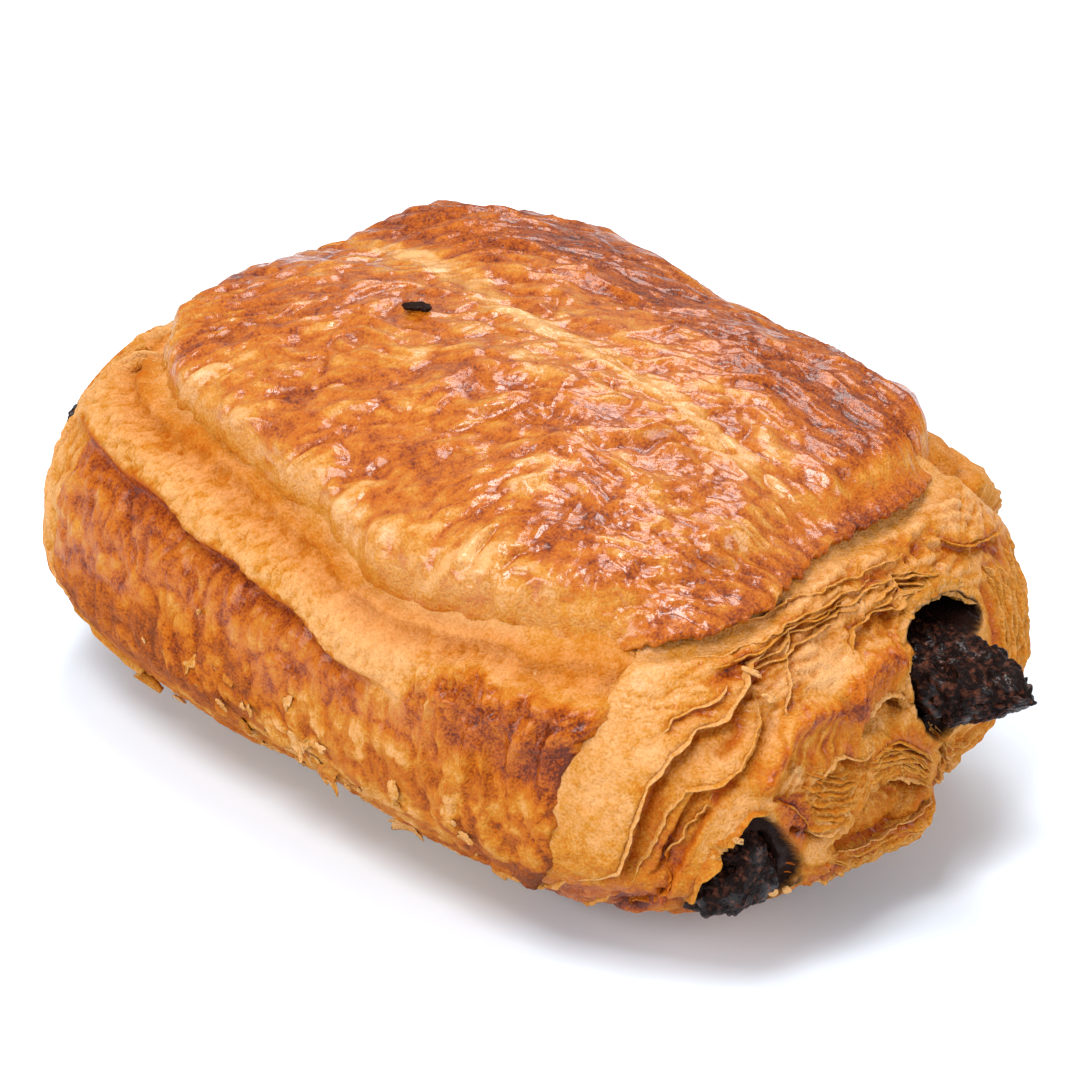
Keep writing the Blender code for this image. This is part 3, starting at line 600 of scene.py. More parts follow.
def end_relief(points, far):
    """The whole relief of an end. The far end is the same roll, cut elsewhere along it."""
    relief = EndRelief(points, far)
    ragged = 0.14 * lumps(points, 0.9, 31.5) + 0.16 * lumps(points, 3.4, 33.5)
    for edge in SHEET_EDGES:
        relief.sheet_edge(edge, ragged)
    for crease in CREASES:
        relief.fold(crease)
    relief.fold(BROWN_FOLD, bake=0.30)
    relief.fold(UPPER_FOLD, bake=0.25)
    for number, zone in enumerate(PAGES):
        relief.pages(zone, 41.5 + number)
    relief.fine_sheets()
    relief.blisters()
    relief.lattice()
    relief.bake += patches(relief.across, relief.height, 0.5 * lumps(points, 2.4, 71.5), END_PATCHES)
    relief.wrinkles()
    relief.dents()
    return relief


def end_weave(points):
    """Strands of an end, in millimetres: they lie across its folds."""
    turn = np.radians(-28 + 40 * smooth_step((points[:, 1] + 8) / 14))
    along = points[:, 1] * np.cos(turn) + points[:, 2] * np.sin(turn)
    over = points[:, 2] * np.cos(turn) - points[:, 1] * np.sin(turn)
    return np.stack([along, over, points[:, 0]], axis=1)


def baton_middle(baton, along):
    """Across and height of a baton's middle at places along the roll."""
    behind = (MOUTH_AT - along) / (2 * MOUTH_AT)
    return baton["across"] + baton["drift"] * behind, baton["height"] + baton["climb"] * behind


def baton_section(points, baton, grow, near=True):
    """How far inside a baton's outline each point lies, as a share: 1 at its middle, 0 on the outline."""
    across, height = baton_middle(baton, points[:, 0])
    across, height = points[:, 1] - across, points[:, 2] - height
    if near and baton is LEFT_BATON:
        across = across / np.clip(1 - 0.62 * np.clip(height / 5.5, 0, 1), 0.3, 1)
    if near and baton is RIGHT_BATON:
        across = across + RIGHT_LEAN * height
    wide = baton["wide"] / 2 + grow
    high = baton["high"] / 2 + grow
    return 1 - (np.abs(across / wide) ** 3 + np.abs(height / high) ** 3) ** (1 / 3)


def press_mouths(points, moved, near):
    """Presses the tunnels' mouths, and on the near end the hollow, into the surface. Gives their chocolate
    stain, with painted shade as dark as the stain deep in the tunnels and all over the hollow.
    """
    facing = 1 if near else -1
    deep = np.zeros(len(points))
    stain_and_shade = np.zeros(len(points))
    for baton in (LEFT_BATON, RIGHT_BATON):
        inside = baton_section(points, baton, 0.3, near) + 0.05 * lumps(points, 1.3, 81.5)
        tight = 0.22 * near * (baton is LEFT_BATON)
        if near and baton is RIGHT_BATON:
            tight = 0.2 * smooth_step((24.5 - points[:, 2] - 0.8 * (points[:, 1] - 4)) / 3)
        deep = np.maximum(deep, TUNNEL_DEPTH * smooth_step((inside - 0.11 - tight) / 0.08))
        moved[:, 0] += facing * 0.3 * np.exp(-np.maximum(-inside, 0) / 0.12) * (inside < 0)
        moved[:, 0] -= facing * 0.9 * smooth_step(inside / 0.07)
        stain_and_shade = np.maximum(stain_and_shade, smooth_step(inside / 0.08 + 0.5))
    if near:
        across, height = points[:, 1] - 9.0, points[:, 2] - 26.4
        gap = (across / 5.0) ** 2 + ((height + 0.12 * across) / 2.2) ** 2
        gap = gap + 0.25 * lumps(points, 1.4, 83.5)
        deep = np.maximum(deep, HOLLOW_DEPTH * smooth_step((0.9 - gap) / 0.35))
        moved[:, 0] -= 1.2 * smooth_step((1.3 - gap) / 0.3)
        # Painted shade: the hollow holds no chocolate, yet is painted as dark as the stain.
        stain_and_shade = np.maximum(stain_and_shade, smooth_step((1.5 - gap) / 0.3))
    moved[:, 0] -= facing * deep
    # Painted shade: all that is pressed deep is painted as dark as the stain.
    return np.maximum(stain_and_shade, smooth_step(deep / 0.4))


def end_surface(angle, climb, far, tuck):
    """Points and shades of an end. It is tucked under the side skin past the rim."""
    points = pillow(angle, climb)
    height = points[:, 2]
    relief = end_relief(points, far)
    inside = rim_angle(height) - FAR_RIM_EARLIER * far - plan_angle(points)
    lip = height - eased(angle, LIP_HEIGHTS)

    # The relief fades out towards the rim, the lip and the underside, where the end goes under the others.
    share = smooth_step((inside + 1.5) / 4) * smooth_step((-lip + 0.6) / 1.6) * smooth_step(height / 4)
    rise = share * (np.minimum(relief.rise, 0.5) if far else relief.rise)
    rise -= tuck * smooth_step((0.5 - inside) / 1.5) + smooth_step((lip + 0.8) / 1.2)
    rise += broad_swell(points)
    moved = points + pillow_normals(angle, climb) * rise[:, None]
    moved[:, 1:] += relief.pull * share[:, None]

    # It is browner low down, most of all at the corner in view, and glossier where it is brown.
    bake = 0.27 + share * relief.bake
    bake += 0.18 * smooth_step((15 - height) / 7) + 0.16 * smooth_step((9 - height) / 4)
    bake += 0.20 * smooth_step((-21 - points[:, 1]) / 4) * smooth_step((21 - height) / 8)
    bake += 0.09 * cloud(points, 2.6, 91.5, 3) + 0.05 * lumps(points, 0.7, 93.5)
    gloss = 0.05 + 0.18 * smooth_step((height - 25) / 4) + 0.3 * smooth_step((bake - 0.5) / 0.2)

    # Chocolate stains the mouths, the skin round the left baton, and a smear beside it. The depths of the
    # mouths and the hollow are painted as dark as the stain, as painted shade.
    stain_and_shade = press_mouths(points, moved, not far)
    smear = bump(points[:, 1] + 13.4, 1.3) * bump(height - 11.0, 1.1) * (not far)
    smear = smooth_step(1.5 * smear + 0.4 * lumps(points, 1.2, 95.5) - 0.4)
    round_left = smooth_step(1 + baton_section(points, LEFT_BATON, 0.5) / 0.16)
    stain_and_shade = np.maximum.reduce([stain_and_shade, 0.8 * smear, 0.35 * round_left])
    moved[:, 2] = np.maximum(moved[:, 2], UNDERSIDE)
    return moved, {"bake": bake, "crease": share * relief.crease, "stain_and_shade": stain_and_shade, "gloss": gloss,
                   "flour": np.zeros(len(points)), "weave": end_weave(points)}


# Relief of the side skin.

def side_surface(angle, climb):
    """Points and shades of the skin that wraps the sides."""
    points = pillow(angle, climb)
    along, across, height = points.T
    front = across < 0
    flat = np.zeros(len(points))
    lip_height, crease_height = eased(angle, LIP_HEIGHTS), eased(angle, CREASE_HEIGHTS)
    lip = height - lip_height - 0.5 * lumps(points, 5, 101.5)
    wobble = 0.8 * lumps(points, (8, 8, 30), 103.5) + 0.12 * lumps(points, (2.4, 2.4, 30), 104.5)
    crease_at = height - crease_height - wobble
    depth = eased(angle, CREASE_DEPTHS)

    # The crease, the round ridge over it, and the tuck under the top sheet.
    upper = smooth_step(crease_at / 1.1 + 0.5)
    above = np.exp(-np.maximum(crease_at, 0) / 2.4)
    below = np.exp(np.minimum(crease_at, 0) / 1.5)
    rise = depth * (0.35 * upper * above - 0.95 * (1 - upper) * below)
    ends = smooth_step((0.44 - 0.08 * (1 - front) - np.abs(along) / LENGTH) / 0.08)
    rise += 0.8 * bump(height - (lip_height + crease_height) / 2, 3.4) * ends
    rise -= 1.5 * bump(lip + 1.3, 1.1) + 1.3 * smooth_step((lip + 0.4) / 1.2)

    # Upright wrinkles near the end in view. Puckers on the roll, and on the pale band over the crease.
    wrinkled = smooth_step((along - 16) / 5) * smooth_step((39 - along) / 4) * front * bump(height - 23, 6.5)
    upright = crests(points, (2.6, 2.6, 15), 105.5, 1.5) - 0.5
    rise += 1.0 * wrinkled * upright + 0.22 * (1 - wrinkled) * (crests(points, (5, 5, 9), 107.5) - 0.3)
    band = smooth_step(crease_at / 0.8) * smooth_step(-lip / 1.5)
    roll = smooth_step((height - 10) / 4) * smooth_step(-crease_at / 2.0)
    pushed = points + 1.2 * lumps(points, 5, 128.5)[:, None]
    roll_large = puckers(pushed, (3.2, 3.2, 5.0), 129.5)
    roll_small = puckers(points, (1.4, 1.4, 2.2), 130.5)
    band_large = puckers(points, (2.4, 2.4, 1.7), 132.5)
    band_small = puckers(points, (1.15, 1.15, 0.95), 134.5)
    rise += roll * (0.42 * (roll_large - 0.5) + 0.18 * (roll_small - 0.5))
    rise += band * (0.38 * (band_large - 0.5) + 0.24 * (band_small - 0.5))
    rise += (0.10 * cloud(points, 0.8, 109.5, 2) + 0.22 * cloud(points, 2.4, 111.5, 2)) * (0.7 + 0.8 * band)
    rise += broad_swell(points)

    # Layers that show at the foot.
    foot = smooth_step((11 - height) / 4) * smooth_step(height / 2)
    layers = (height * 0.9 + 0.10 * along + 0.8 * lumps(points, (6, 6, 5), 113.5)) / 1.5
    rise += foot * 0.35 * (page_rise(layers, 0.75, 0.78) - 0.5)

    # The brown of the roll, from an uneven low edge to the crease or, where there is none, to a high edge.
    low = eased(angle, BROWN_LOW) + 1.6 * cloud(points, (5, 5, 3), 115.5, 3)
    brown = smooth_step((height - low + 1.2) / 2.4) * (1 - upper * np.clip(depth, 0, 1))
    high = np.where(front, np.interp(along, BROWN_HIGH_AT, BROWN_HIGH), crease_height + 1)
    high = high + 1.0 * cloud(points, (3.0, 3.0, 3), 117.5, 2)
    brown *= np.where(depth < 1, smooth_step((high - height + 0.8) / 1.6), 1)
    brown *= smooth_step((plan_angle(points) - 30) / 8)

    # Dry skin under it, with islands of crust.
    dry = smooth_step((low - height + 0.6) / 3) * smooth_step((height - 3) / 5)
    islands = smooth_step((cloud(points, (3.6, 3.6, 3.0), 119.5, 4, 0.6) + 0.02) / 0.3)
    islands *= smooth_step((along + 34) / 20)
    rise += 0.10 * dry * (islands - 0.5)

    bake = 0.25 + 0.12 * cloud(points, 2.4, 121.5, 3)
    bake += brown * (0.38 + 0.13 * cloud(points, (4.5, 4.5, 3.2), 123.5, 3)
                     + 0.12 * cloud(points, (1.1, 1.1, 1.8), 124.5, 2))
    bake += dry * (0.40 - 0.34 * islands) + 0.10 * dry * cloud(points, (1.6, 1.6, 1.2), 120.5, 3)
    bake += 0.16 * wrinkled * (0.5 - upright)
    bake += roll * (0.34 * (1 - roll_large) ** 2 + 0.22 * (1 - roll_small) ** 2 - 0.12)
    bake += band * (0.22 * (1 - band_large) ** 2 + 0.26 * (1 - band_small) ** 2 - 0.15)
    bake += 0.18 * foot * (0.3 + lumps(points, (5, 5, 2), 125.5))
    bake += patches(along, height, 0.5 * lumps(points, 2.6, 127.5), SIDE_PATCHES) * front
    # Painted shade: the crease under the pale ridge is baked darker and takes the crease tint, and a band
    # under the top sheet's lip is baked darker.
    crease = np.clip(depth, 0, 1.6) / 1.6 * (1 - smooth_step(crease_at / 1.1))
    crease *= np.exp(np.minimum(crease_at, 0) / 1.2)
    bake += 0.60 * crease + 0.26 * bump(lip + 0.5, 1.1) * np.clip(0.7 + lumps(points, 5, 126.5), 0, 1)
    bake += 0.22 * smooth_step((12 - height) / 4) * smooth_step((along - 20) / 10)

    # The darkest and the palest places are brought nearer to the rest.
    bake = np.minimum(bake, 0.80 + 0.3 * (bake - 0.80))
    bake = np.maximum(bake, 0.17 + 0.35 * (bake - 0.17))
    # Painted shade: the crease tint also runs along the tuck under the lip.
    crease = np.clip(crease + 0.8 * bump(lip + 0.9, 1.7), 0, 1)

    moved = points + pillow_normals(angle, climb) * rise[:, None]
    moved[:, 2] = np.maximum(moved[:, 2], UNDERSIDE)
    return moved, {"bake": bake, "crease": crease, "stain_and_shade": flat, "gloss": 0.04 + 0.30 * brown,
                   "flour": dry * (0.3 - 0.25 * islands),
                   "weave": np.stack([height, along + across, flat], axis=1)}


def skin_surface(angle, climb):
    """The skin all round: the side relief, and the folds of the far end inside its rim."""
    moved, shade = side_surface(angle, climb)
    points = pillow(angle, climb)
    inside = rim_angle(points[:, 2]) - FAR_RIM_EARLIER - plan_angle(points)
    chosen = (inside > -6) & (points[:, 0] < -20)
    end, end_shade = end_surface(angle[chosen], climb[chosen], True, 0.0)
    share = smooth_step((inside[chosen] + 1.0) / 2.0)
    for old, new in [(moved, end)] + [(shade[key], end_shade[key]) for key in shade]:
        part = share[:, None] if old.ndim == 2 else share
        old[chosen] = old[chosen] * (1 - part) + new * part
    return moved, shade


def rolled_rim(angle, climb):
    """The skin with its columns stretched to the rims of both ends, and rolled in there."""
    points = pillow(angle, climb)
    height = points[:, 2]
    ragged = 0.9 * lumps(points, 3.0, 171.5) + 0.4 * lumps(points, 1.0, 172.5)
    shift = np.radians(rim_angle(height) + ragged) - math.radians(SKIN_FROM)
    place = (angle - math.radians(SKIN_FROM)) / math.radians(SKIN_TO - SKIN_FROM)
    angle = angle + (smooth_step((0.02 - place) / 0.02) - smooth_step((place - 0.98) / 0.02)) * shift
    points, shade = skin_surface(angle, climb)

    edge = np.minimum(place, 1 - place) * (SKIN_TO - SKIN_FROM)
    lip_fade = smooth_step(height / 4) * smooth_step((29.5 - height) / 3.5)
    rise = 0.55 * bump(edge - 1.6, 1.6) * lip_fade - 1.5 * smooth_step((0.9 - edge) / 0.9)
    points += pillow_normals(angle, climb) * rise[:, None]

    near = smooth_step((6 - edge) / 4) * smooth_step((height - 27) / 2.5) * (points[:, 0] > 0)
    crumbly = 0.32 + 0.16 * cloud(points, 1.6, 173.5, 3)
    shade["bake"] += (crumbly - shade["bake"]) * near
    shade["bake"] += (0.14 * bump(edge - 1.5, 2.2) + 0.1 * bump(edge, 0.6)) * lip_fade
    shade["gloss"] *= 1 - near
    return points, shade


# The glazed top sheet.

def cap_relief(points):
    """Rise, bake, gloss and weave of the glazed top sheet, from its place on the plain pillow."""
    x, y = points[:, 0], points[:, 1]
    flat = 0 * x

    # The wrinkles flow aslant over most of the sheet, lengthwise down its middle, and ring a blister.
    turn = math.radians(38) + np.radians(18) * lumps(points, 30, 131.5)
    flow = np.stack([x * np.cos(turn) + y * np.sin(turn), y * np.cos(turn) - x * np.sin(turn), flat], axis=1)
    flow[:, 1] += 1.6 * lumps(points, 9, 133.5) + 0.5 * lumps(points, 3, 135.5)
    along = np.stack([x, y + 1.2 * lumps(points, 8, 137.5), flat], axis=1)
    aslant = smooth_step((np.abs(y - 1) - 2) / 7)
    broad = crests(flow, (13, 4.2, 1), 141.5, 1.6)
    narrow = crests(flow, (7.5, 1.9, 1), 143.5, 2.2)
    lengthwise = crests(along, (16, 3.4, 1), 145.5, 1.6)
    busy = smooth_step(0.5 + 1.1 * lumps(points, 9, 147.5))
    from_blister = np.hypot((x - 31) / 1.15, y + 16) + 0.7 * lumps(points, 4, 149.5)
    blister = bump(from_blister, 8.5)
    round_blister = np.stack([from_blister, np.arctan2(y + 16, x - 31) * 5, flat], axis=1)
    rings = crests(round_blister, (1.5, 6, 1), 151.5, 2)
    rise = 0.62 * aslant * (broad - 0.35) + 0.42 * (0.35 + 0.65 * busy) * (narrow - 0.3)
    rise += 0.35 * (1 - aslant) * (lengthwise - 0.3) + 0.30 * blister * (rings - 0.3)

    # Pimples and puckers of three sizes, uneven over the sheet and calmer beyond its middle.
    pimples = crests(points, 1.5, 153.5, 3) * smooth_step(2.2 * lumps(points, 7, 155.5))
    bent = flow + 0.9 * np.stack([lumps(points, 3.2, 138.5), lumps(points, 3.2, 139.5), flat], axis=1)
    wrung, small = puckers(bent, (5.2, 2.5, 1), 157.5), puckers(bent, (2.2, 1.2, 1), 158.5)
    blown = puckers(points, (1.3, 1.1, 1.2), 160.5)
    uneven = smooth_step(0.5 + 1.4 * lumps(points, 8, 162.5))
    beyond = smooth_step((y - 3) / 5)
    rise += 0.10 * pimples + 0.60 * (1 - 0.35 * beyond) * (0.25 + 0.75 * uneven) * (wrung - 0.5)
    rise += 0.11 * (1.1 - 0.8 * uneven) * (small - 0.5) + 0.14 * (0.15 + 0.85 * blister) * (blown - 0.5)
    rise += 0.55 * lumps(points, 11, 159.5) + 0.2 * lumps(points, 5, 161.5)
    rise -= 0.55 * bump(y - 1.5 + 0.06 * x, 4.0)

    # Streaks and blots of brown, islands of pale, dark valleys, and the patches that show.
    valley = np.clip(0.55 - broad * aslant - (1 - aslant) * lengthwise, 0, 1)
    streaks, blots = cloud(flow, (3.6, 0.9, 1), 165.5, 3), cloud(points, (2.2, 1.7, 2), 166.5, 3)
    islands = smooth_step((cloud(flow, (4.6, 2.0, 1), 164.5, 3) - 0.12) / 0.35)
    front_edge = smooth_step((-y - 21) / 5) * smooth_step((22 - x) / 8)
    bake = 0.725 + 0.14 * cloud(points, (9, 6, 9), 163.5, 2) + 0.13 * streaks + 0.10 * blots
    bake -= 0.21 * islands * (1 - 0.7 * beyond) + 0.17 * front_edge - 0.13 * beyond
    bake += 0.20 * (valley - 0.2) - 0.12 * narrow * busy
    bake += 0.35 * (1 - wrung) ** 2 + 0.20 * (1 - small) ** 2 + 0.12 * (1 - blown) ** 2 - 0.15
    outline = 0.7 * lumps(points, 3.4, 167.5) + 0.3 * lumps(points, 1.3, 168.5)
    for at_x, at_y, long, wide, turn, change in CAP_PATCHES:
        cos, sin = math.cos(math.radians(turn)), math.sin(math.radians(turn))
        right, up = x - at_x, y - at_y
        reach = ((right * cos + up * sin) / long) ** 2 + ((up * cos - right * sin) / wide) ** 2
        bake += change * smooth_step((1.7 - (reach + outline)) / 1.3)
    bake += 0.15 * blister * (0.6 - rings)
    bake = np.minimum(bake, 0.72 + 0.35 * (bake - 0.72)) + 0.05 * beyond
    gloss = (0.75 + 0.40 * smooth_step((bake - 0.3) / 0.2)) * (1 - 0.25 * beyond)
    return rise, bake, gloss, flow


def cap_points(side, over):
    """Plan angle and climb of a square grid laid on the cap. Both coordinates run from -1 to 1."""
    ring = np.maximum(np.abs(side), np.abs(over))
    angle = np.arctan2(over * WIDTH, side * LENGTH)
    near = smooth_step((np.cos(angle) - 0.55) / 0.2)
    edge = climb_at(angle, eased(angle, LIP_HEIGHTS) + near)
    squareness = eased(angle, CROWN_SQUARENESS)
    reach = ring * np.cos(edge) ** (2 / squareness)
    return angle, np.arccos(np.clip(reach, 0, 1) ** (squareness / 2)), ring


def open_share(points):
    """Where the top sheet's edge hangs free, 1 at the near end and 0 along the sides."""
    over_folds = smooth_step((points[:, 0] - 31) / 6) * smooth_step((25 - np.abs(points[:, 1])) / 6)
    return np.maximum(smooth_step((points[:, 0] - 33.5) / 7.9), over_folds)


# Meshes.

def to_frame(points):
    """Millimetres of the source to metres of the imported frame, kept inside the solids' box."""
    low, high = (np.array(corner) for corner in CAD_BOX)
    return np.clip((points + FRAME_SHIFT) * MM, low + BOX_MARGIN * MM, high - BOX_MARGIN * MM)


def grid_faces(rows, columns, closed):
    """Quads between the rows and columns of a grid whose vertices are numbered row by row."""
    first = np.arange(rows - 1)[:, None] * columns
    column = np.arange(columns if closed else columns - 1)[None, :]
    following = (column + 1) % columns
    corners = [first + column, first + following, first + columns + following, first + columns + column]
    return np.stack(corners, axis=-1).reshape(-1, 4)


def new_piece(name, points, faces, shade, finish):
    """A smooth mesh object that rides on the pastry's one body, with its shades as attributes.

    A shade is one value for each point or for all. A finish reads 0 for a shade that isn't given.
    """
    mesh = bpy.data.meshes.new(name)
    mesh.from_pydata(to_frame(points).tolist(), [], faces)
    mesh.shade_smooth()
    for key, values in shade.items():
        kind, field = ("FLOAT_VECTOR", "vector") if np.ndim(values) == 2 else ("FLOAT", "value")
        if np.ndim(values) == 0:
            values = np.full(len(points), values)
        made = mesh.attributes.new(key, kind, "POINT")
        made.data.foreach_set(field, np.asarray(values, np.float32).ravel())
    mesh.materials.append(finish)
    mesh.update()
    piece = bpy.data.objects.new(name, mesh)
    bpy.context.scene.collection.objects.link(piece)
    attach(piece, "root")
    return piece


def fan(ring, apex):
    """Triangles from a row of vertices to one point."""
    return [(a, b, apex) for a, b in zip(ring[:-1], ring[1:])]


def wall_piece(name, surface, angles, climbs, finish):
    """A piece from columns of a surface function, closed to points over the base and under the crown."""
    under = HIDDEN_CLIMB + (climbs[:, :1] - HIDDEN_CLIMB) * np.array([0.0, 0.5])
    over = climbs[:, -1:] + (math.pi / 2 - climbs[:, -1:]) * np.array([0.25, 0.55, 0.85])
    climbs = np.concatenate([under, climbs, over], axis=1)
    columns, rows = climbs.shape
    points, shade = surface(np.repeat(angles, rows), climbs.ravel())
    order = np.arange(columns * rows).reshape(columns, rows).T.ravel()
    points = np.vstack([points[order], [[0, 0, UNDERSIDE], [0, 0, HEIGHT - 1.6]]])
    shade = {key: np.concatenate([values[order], values[order[-2:]]]) for key, values in shade.items()}
    base, crown = len(points) - 2, len(points) - 1
    first_row = list(range(columns))
    faces = grid_faces(rows, columns, False).tolist()
    faces += [(b, a, base) for a, b, _ in fan(first_row, base)]
    faces += fan([(rows - 1) * columns + column for column in first_row], crown)
    return new_piece(name, points, faces, shade, finish)


# Finishes.

def node(tree, kind, place, **settings):
    """A node at a place on the sheet, with its settings."""
    made = tree.nodes.new(kind)
    made.location = place
    for key, value in settings.items():
        setattr(made, key, value)
    return made


def attribute(tree, name, place):
    """The socket that reads one of the shades of a piece."""
    return node(tree, "ShaderNodeAttribute", place, attribute_name=name).outputs["Fac"]


def sum_of(tree, a, b, place, operation="ADD", clamp=False):
    """A Math node with two inputs, each a socket or a number."""
    made = node(tree, "ShaderNodeMath", place, operation=operation, use_clamp=clamp)
    for slot, value in zip(made.inputs, (a, b)):
        feed(tree, slot, value)
    return made.outputs[0]


def feed(tree, slot, value):
    """Gives a node's input a number or a colour, or links a socket to it."""
    if isinstance(value, (int, float)):
        slot.default_value = value
    elif isinstance(value, tuple):
        slot.default_value = (*value, 1)
    else:
        tree.links.new(value, slot)


def noise(tree, where, scales, size, detail, place):
    """Noise over a vector socket, squashed by these scales."""
    squash = node(tree, "ShaderNodeMapping", (place[0] - 200, place[1]))
    squash.inputs["Scale"].default_value = scales
    made = node(tree, "ShaderNodeTexNoise", place)
    made.inputs["Scale"].default_value = size
    made.inputs["Detail"].default_value = detail
    tree.links.new(where, squash.inputs["Vector"])
    tree.links.new(squash.outputs["Vector"], made.inputs["Vector"])
    return made.outputs["Fac"]


def speckle(tree, scale, detail, place):
    """Noise in the object's own place, by lumps of 1/scale metres."""
    where = node(tree, "ShaderNodeTexCoord", (place[0] - 400, place[1])).outputs["Object"]
    return noise(tree, where, (1, 1, 1), scale, detail, place)


def strands(tree, along, across, detail, place):
    """Noise drawn out along the strands of the dough. Both lengths are millimetres."""
    weave = node(tree, "ShaderNodeAttribute", (place[0] - 400, place[1]), attribute_name="weave")
    return noise(tree, weave.outputs["Vector"], (1 / along, 1 / across, 1), 1, detail, place)


def ramp(tree, factor, stops, place):
    """A colour ramp through (place, colour) stops."""
    made = node(tree, "ShaderNodeValToRGB", place)
    made.color_ramp.interpolation = "LINEAR"
    elements = made.color_ramp.elements
    while len(elements) < len(stops):
        elements.new(0.5)
    for element, (position, colour) in zip(elements, stops):
        element.position = position
        element.color = (*colour, 1)
    tree.links.new(factor, made.inputs["Fac"])
    return made.outputs["Color"]


def mixed(tree, factor, first, second, place, blend="MIX"):
    """A colour mix of two sockets or colours."""
    made = node(tree, "ShaderNodeMix", place, data_type="RGBA", blend_type=blend)
    for slot, value in zip([i for i in made.inputs if i.enabled], (factor, first, second)):
        feed(tree, slot, value)
    return next(o for o in made.outputs if o.enabled)


def bump_normal(tree, height, strength, distance, place):
    """The socket of a surface bumped by a height. The distance is metres."""
    made = node(tree, "ShaderNodeBump", place)
    made.inputs["Strength"].default_value = strength
    made.inputs["Distance"].default_value = distance
    tree.links.new(height, made.inputs["Height"])
    return made.outputs["Normal"]


BURNT = (0.10, 0.016, 0.004)
# The tint of painted shade in creases and under overhangs.
CREASE_SHADE_TINT = (0.80, 0.50, 0.22)
# The chocolate stain's colour, also used as painted shade deep in the mouths and in the hollow.
CHOCOLATE_STAIN_AND_SHADE = (0.016, 0.006, 0.004)


def new_finish(name):
    """A material, its node tree and its shader."""
    made = bpy.data.materials.new(name)
    made.use_nodes = True
    return made, made.node_tree, made.node_tree.nodes["Principled BSDF"]


def crust_colour(tree, bake, colours):
    """The socket of the crust's colour: bake sets it, then painted shade in creases, flour and chocolate
    stains tint it. The stain's colour also paints shade deep in the mouths.
    """
    pale, golden, brown, dark = map(tuple, (colours.pale, colours.golden, colours.brown, colours.dark))
    middle = tuple(0.45 * (a + b) + 0.035 * k for a, b, k in zip(golden, brown, (1, 0.12, 0)))
    lightest = tuple(min(1, c * k) for c, k in zip(pale, (1.12, 1.25, 1.5)))
    skin = ramp(tree, bake, [(0.0, lightest), (0.2, pale), (0.40, golden), (0.54, middle), (0.68, brown),
                             (0.88, dark), (1.0, BURNT)], (-650, 250))
    # Painted shade: the crease shade multiplies the colour by a deep orange tint.
    hollow = sum_of(tree, attribute(tree, "crease", (-650, 0)), 0.8, (-450, 0), "MULTIPLY", True)
    deep = mixed(tree, 1.0, skin, CREASE_SHADE_TINT, (-450, 100), "MULTIPLY")
    skin = mixed(tree, hollow, skin, deep, (-300, 250))
    flour = sum_of(tree, attribute(tree, "flour", (-650, -150)), 0.7, (-450, -150), "MULTIPLY", True)
    skin = mixed(tree, flour, skin, tuple(colours.dry), (-150, 250))
    return mixed(tree, attribute(tree, "stain_and_shade", (-300, -100)), skin, CHOCOLATE_STAIN_AND_SHADE, (0, 250))


def crust_finish(colours, sizes):
    """Baked dough: its bake sets the colour, its egg wash the gloss."""
    made, tree, shader = new_finish("baked_crust")
    grain = sum_of(tree, speckle(tree, 3800, 2, (-1500, 0)), -0.5, (-1300, 0))
    coarse = sum_of(tree, speckle(tree, 800, 4, (-1500, -300)), -0.5, (-1300, -300))
    hair = sum_of(tree, strands(tree, 1.6, 0.34, 2, (-1500, -600)), -0.5, (-1300, -600))

    bake = attribute(tree, "bake", (-1500, 300))
    bake = sum_of(tree, bake, sum_of(tree, grain, 0.62, (-1150, 0), "MULTIPLY"), (-1000, 200))
    bake = sum_of(tree, bake, sum_of(tree, hair, 0.07, (-1150, -600), "MULTIPLY"), (-900, 200))
    bake = sum_of(tree, bake, sum_of(tree, coarse, 0.46, (-1150, -300), "MULTIPLY"), (-850, 200), clamp=True)
    tree.links.new(crust_colour(tree, bake, colours), shader.inputs["Base Color"])
    shader.inputs["Specular IOR Level"].default_value = 0.03
    shader.inputs["Subsurface Weight"].default_value = 0.08
    shader.inputs["Subsurface Radius"].default_value = (1.0, 0.45, 0.15)
    shader.inputs["Subsurface Scale"].default_value = 0.0016

    gloss = attribute(tree, "gloss", (-650, -450))
    wash = sum_of(tree, gloss, sizes.egg_wash, (-300, -450), "MULTIPLY", True)
    tree.links.new(wash, shader.inputs["Coat Weight"])
    shader.inputs["Coat Roughness"].default_value = 0.20
    shader.inputs["Coat IOR"].default_value = 1.5
    rough = sum_of(tree, gloss, 0.25, (-450, -350), "MULTIPLY")
    tree.links.new(sum_of(tree, 0.68, rough, (-300, -350), "SUBTRACT"), shader.inputs["Roughness"])

    relief = sum_of(tree, grain, sum_of(tree, coarse, 1.2, (-300, -700), "MULTIPLY"), (-150, -700))
    relief = sum_of(tree, relief, sum_of(tree, hair, 0.12, (-150, -900), "MULTIPLY"), (0, -750))
    tree.links.new(bump_normal(tree, relief, 0.6, 0.0006, (0, -600)), shader.inputs["Normal"])
    tree.links.new(bump_normal(tree, coarse, 0.5, 0.0003, (0, -900)), shader.inputs["Coat Normal"])
    return made


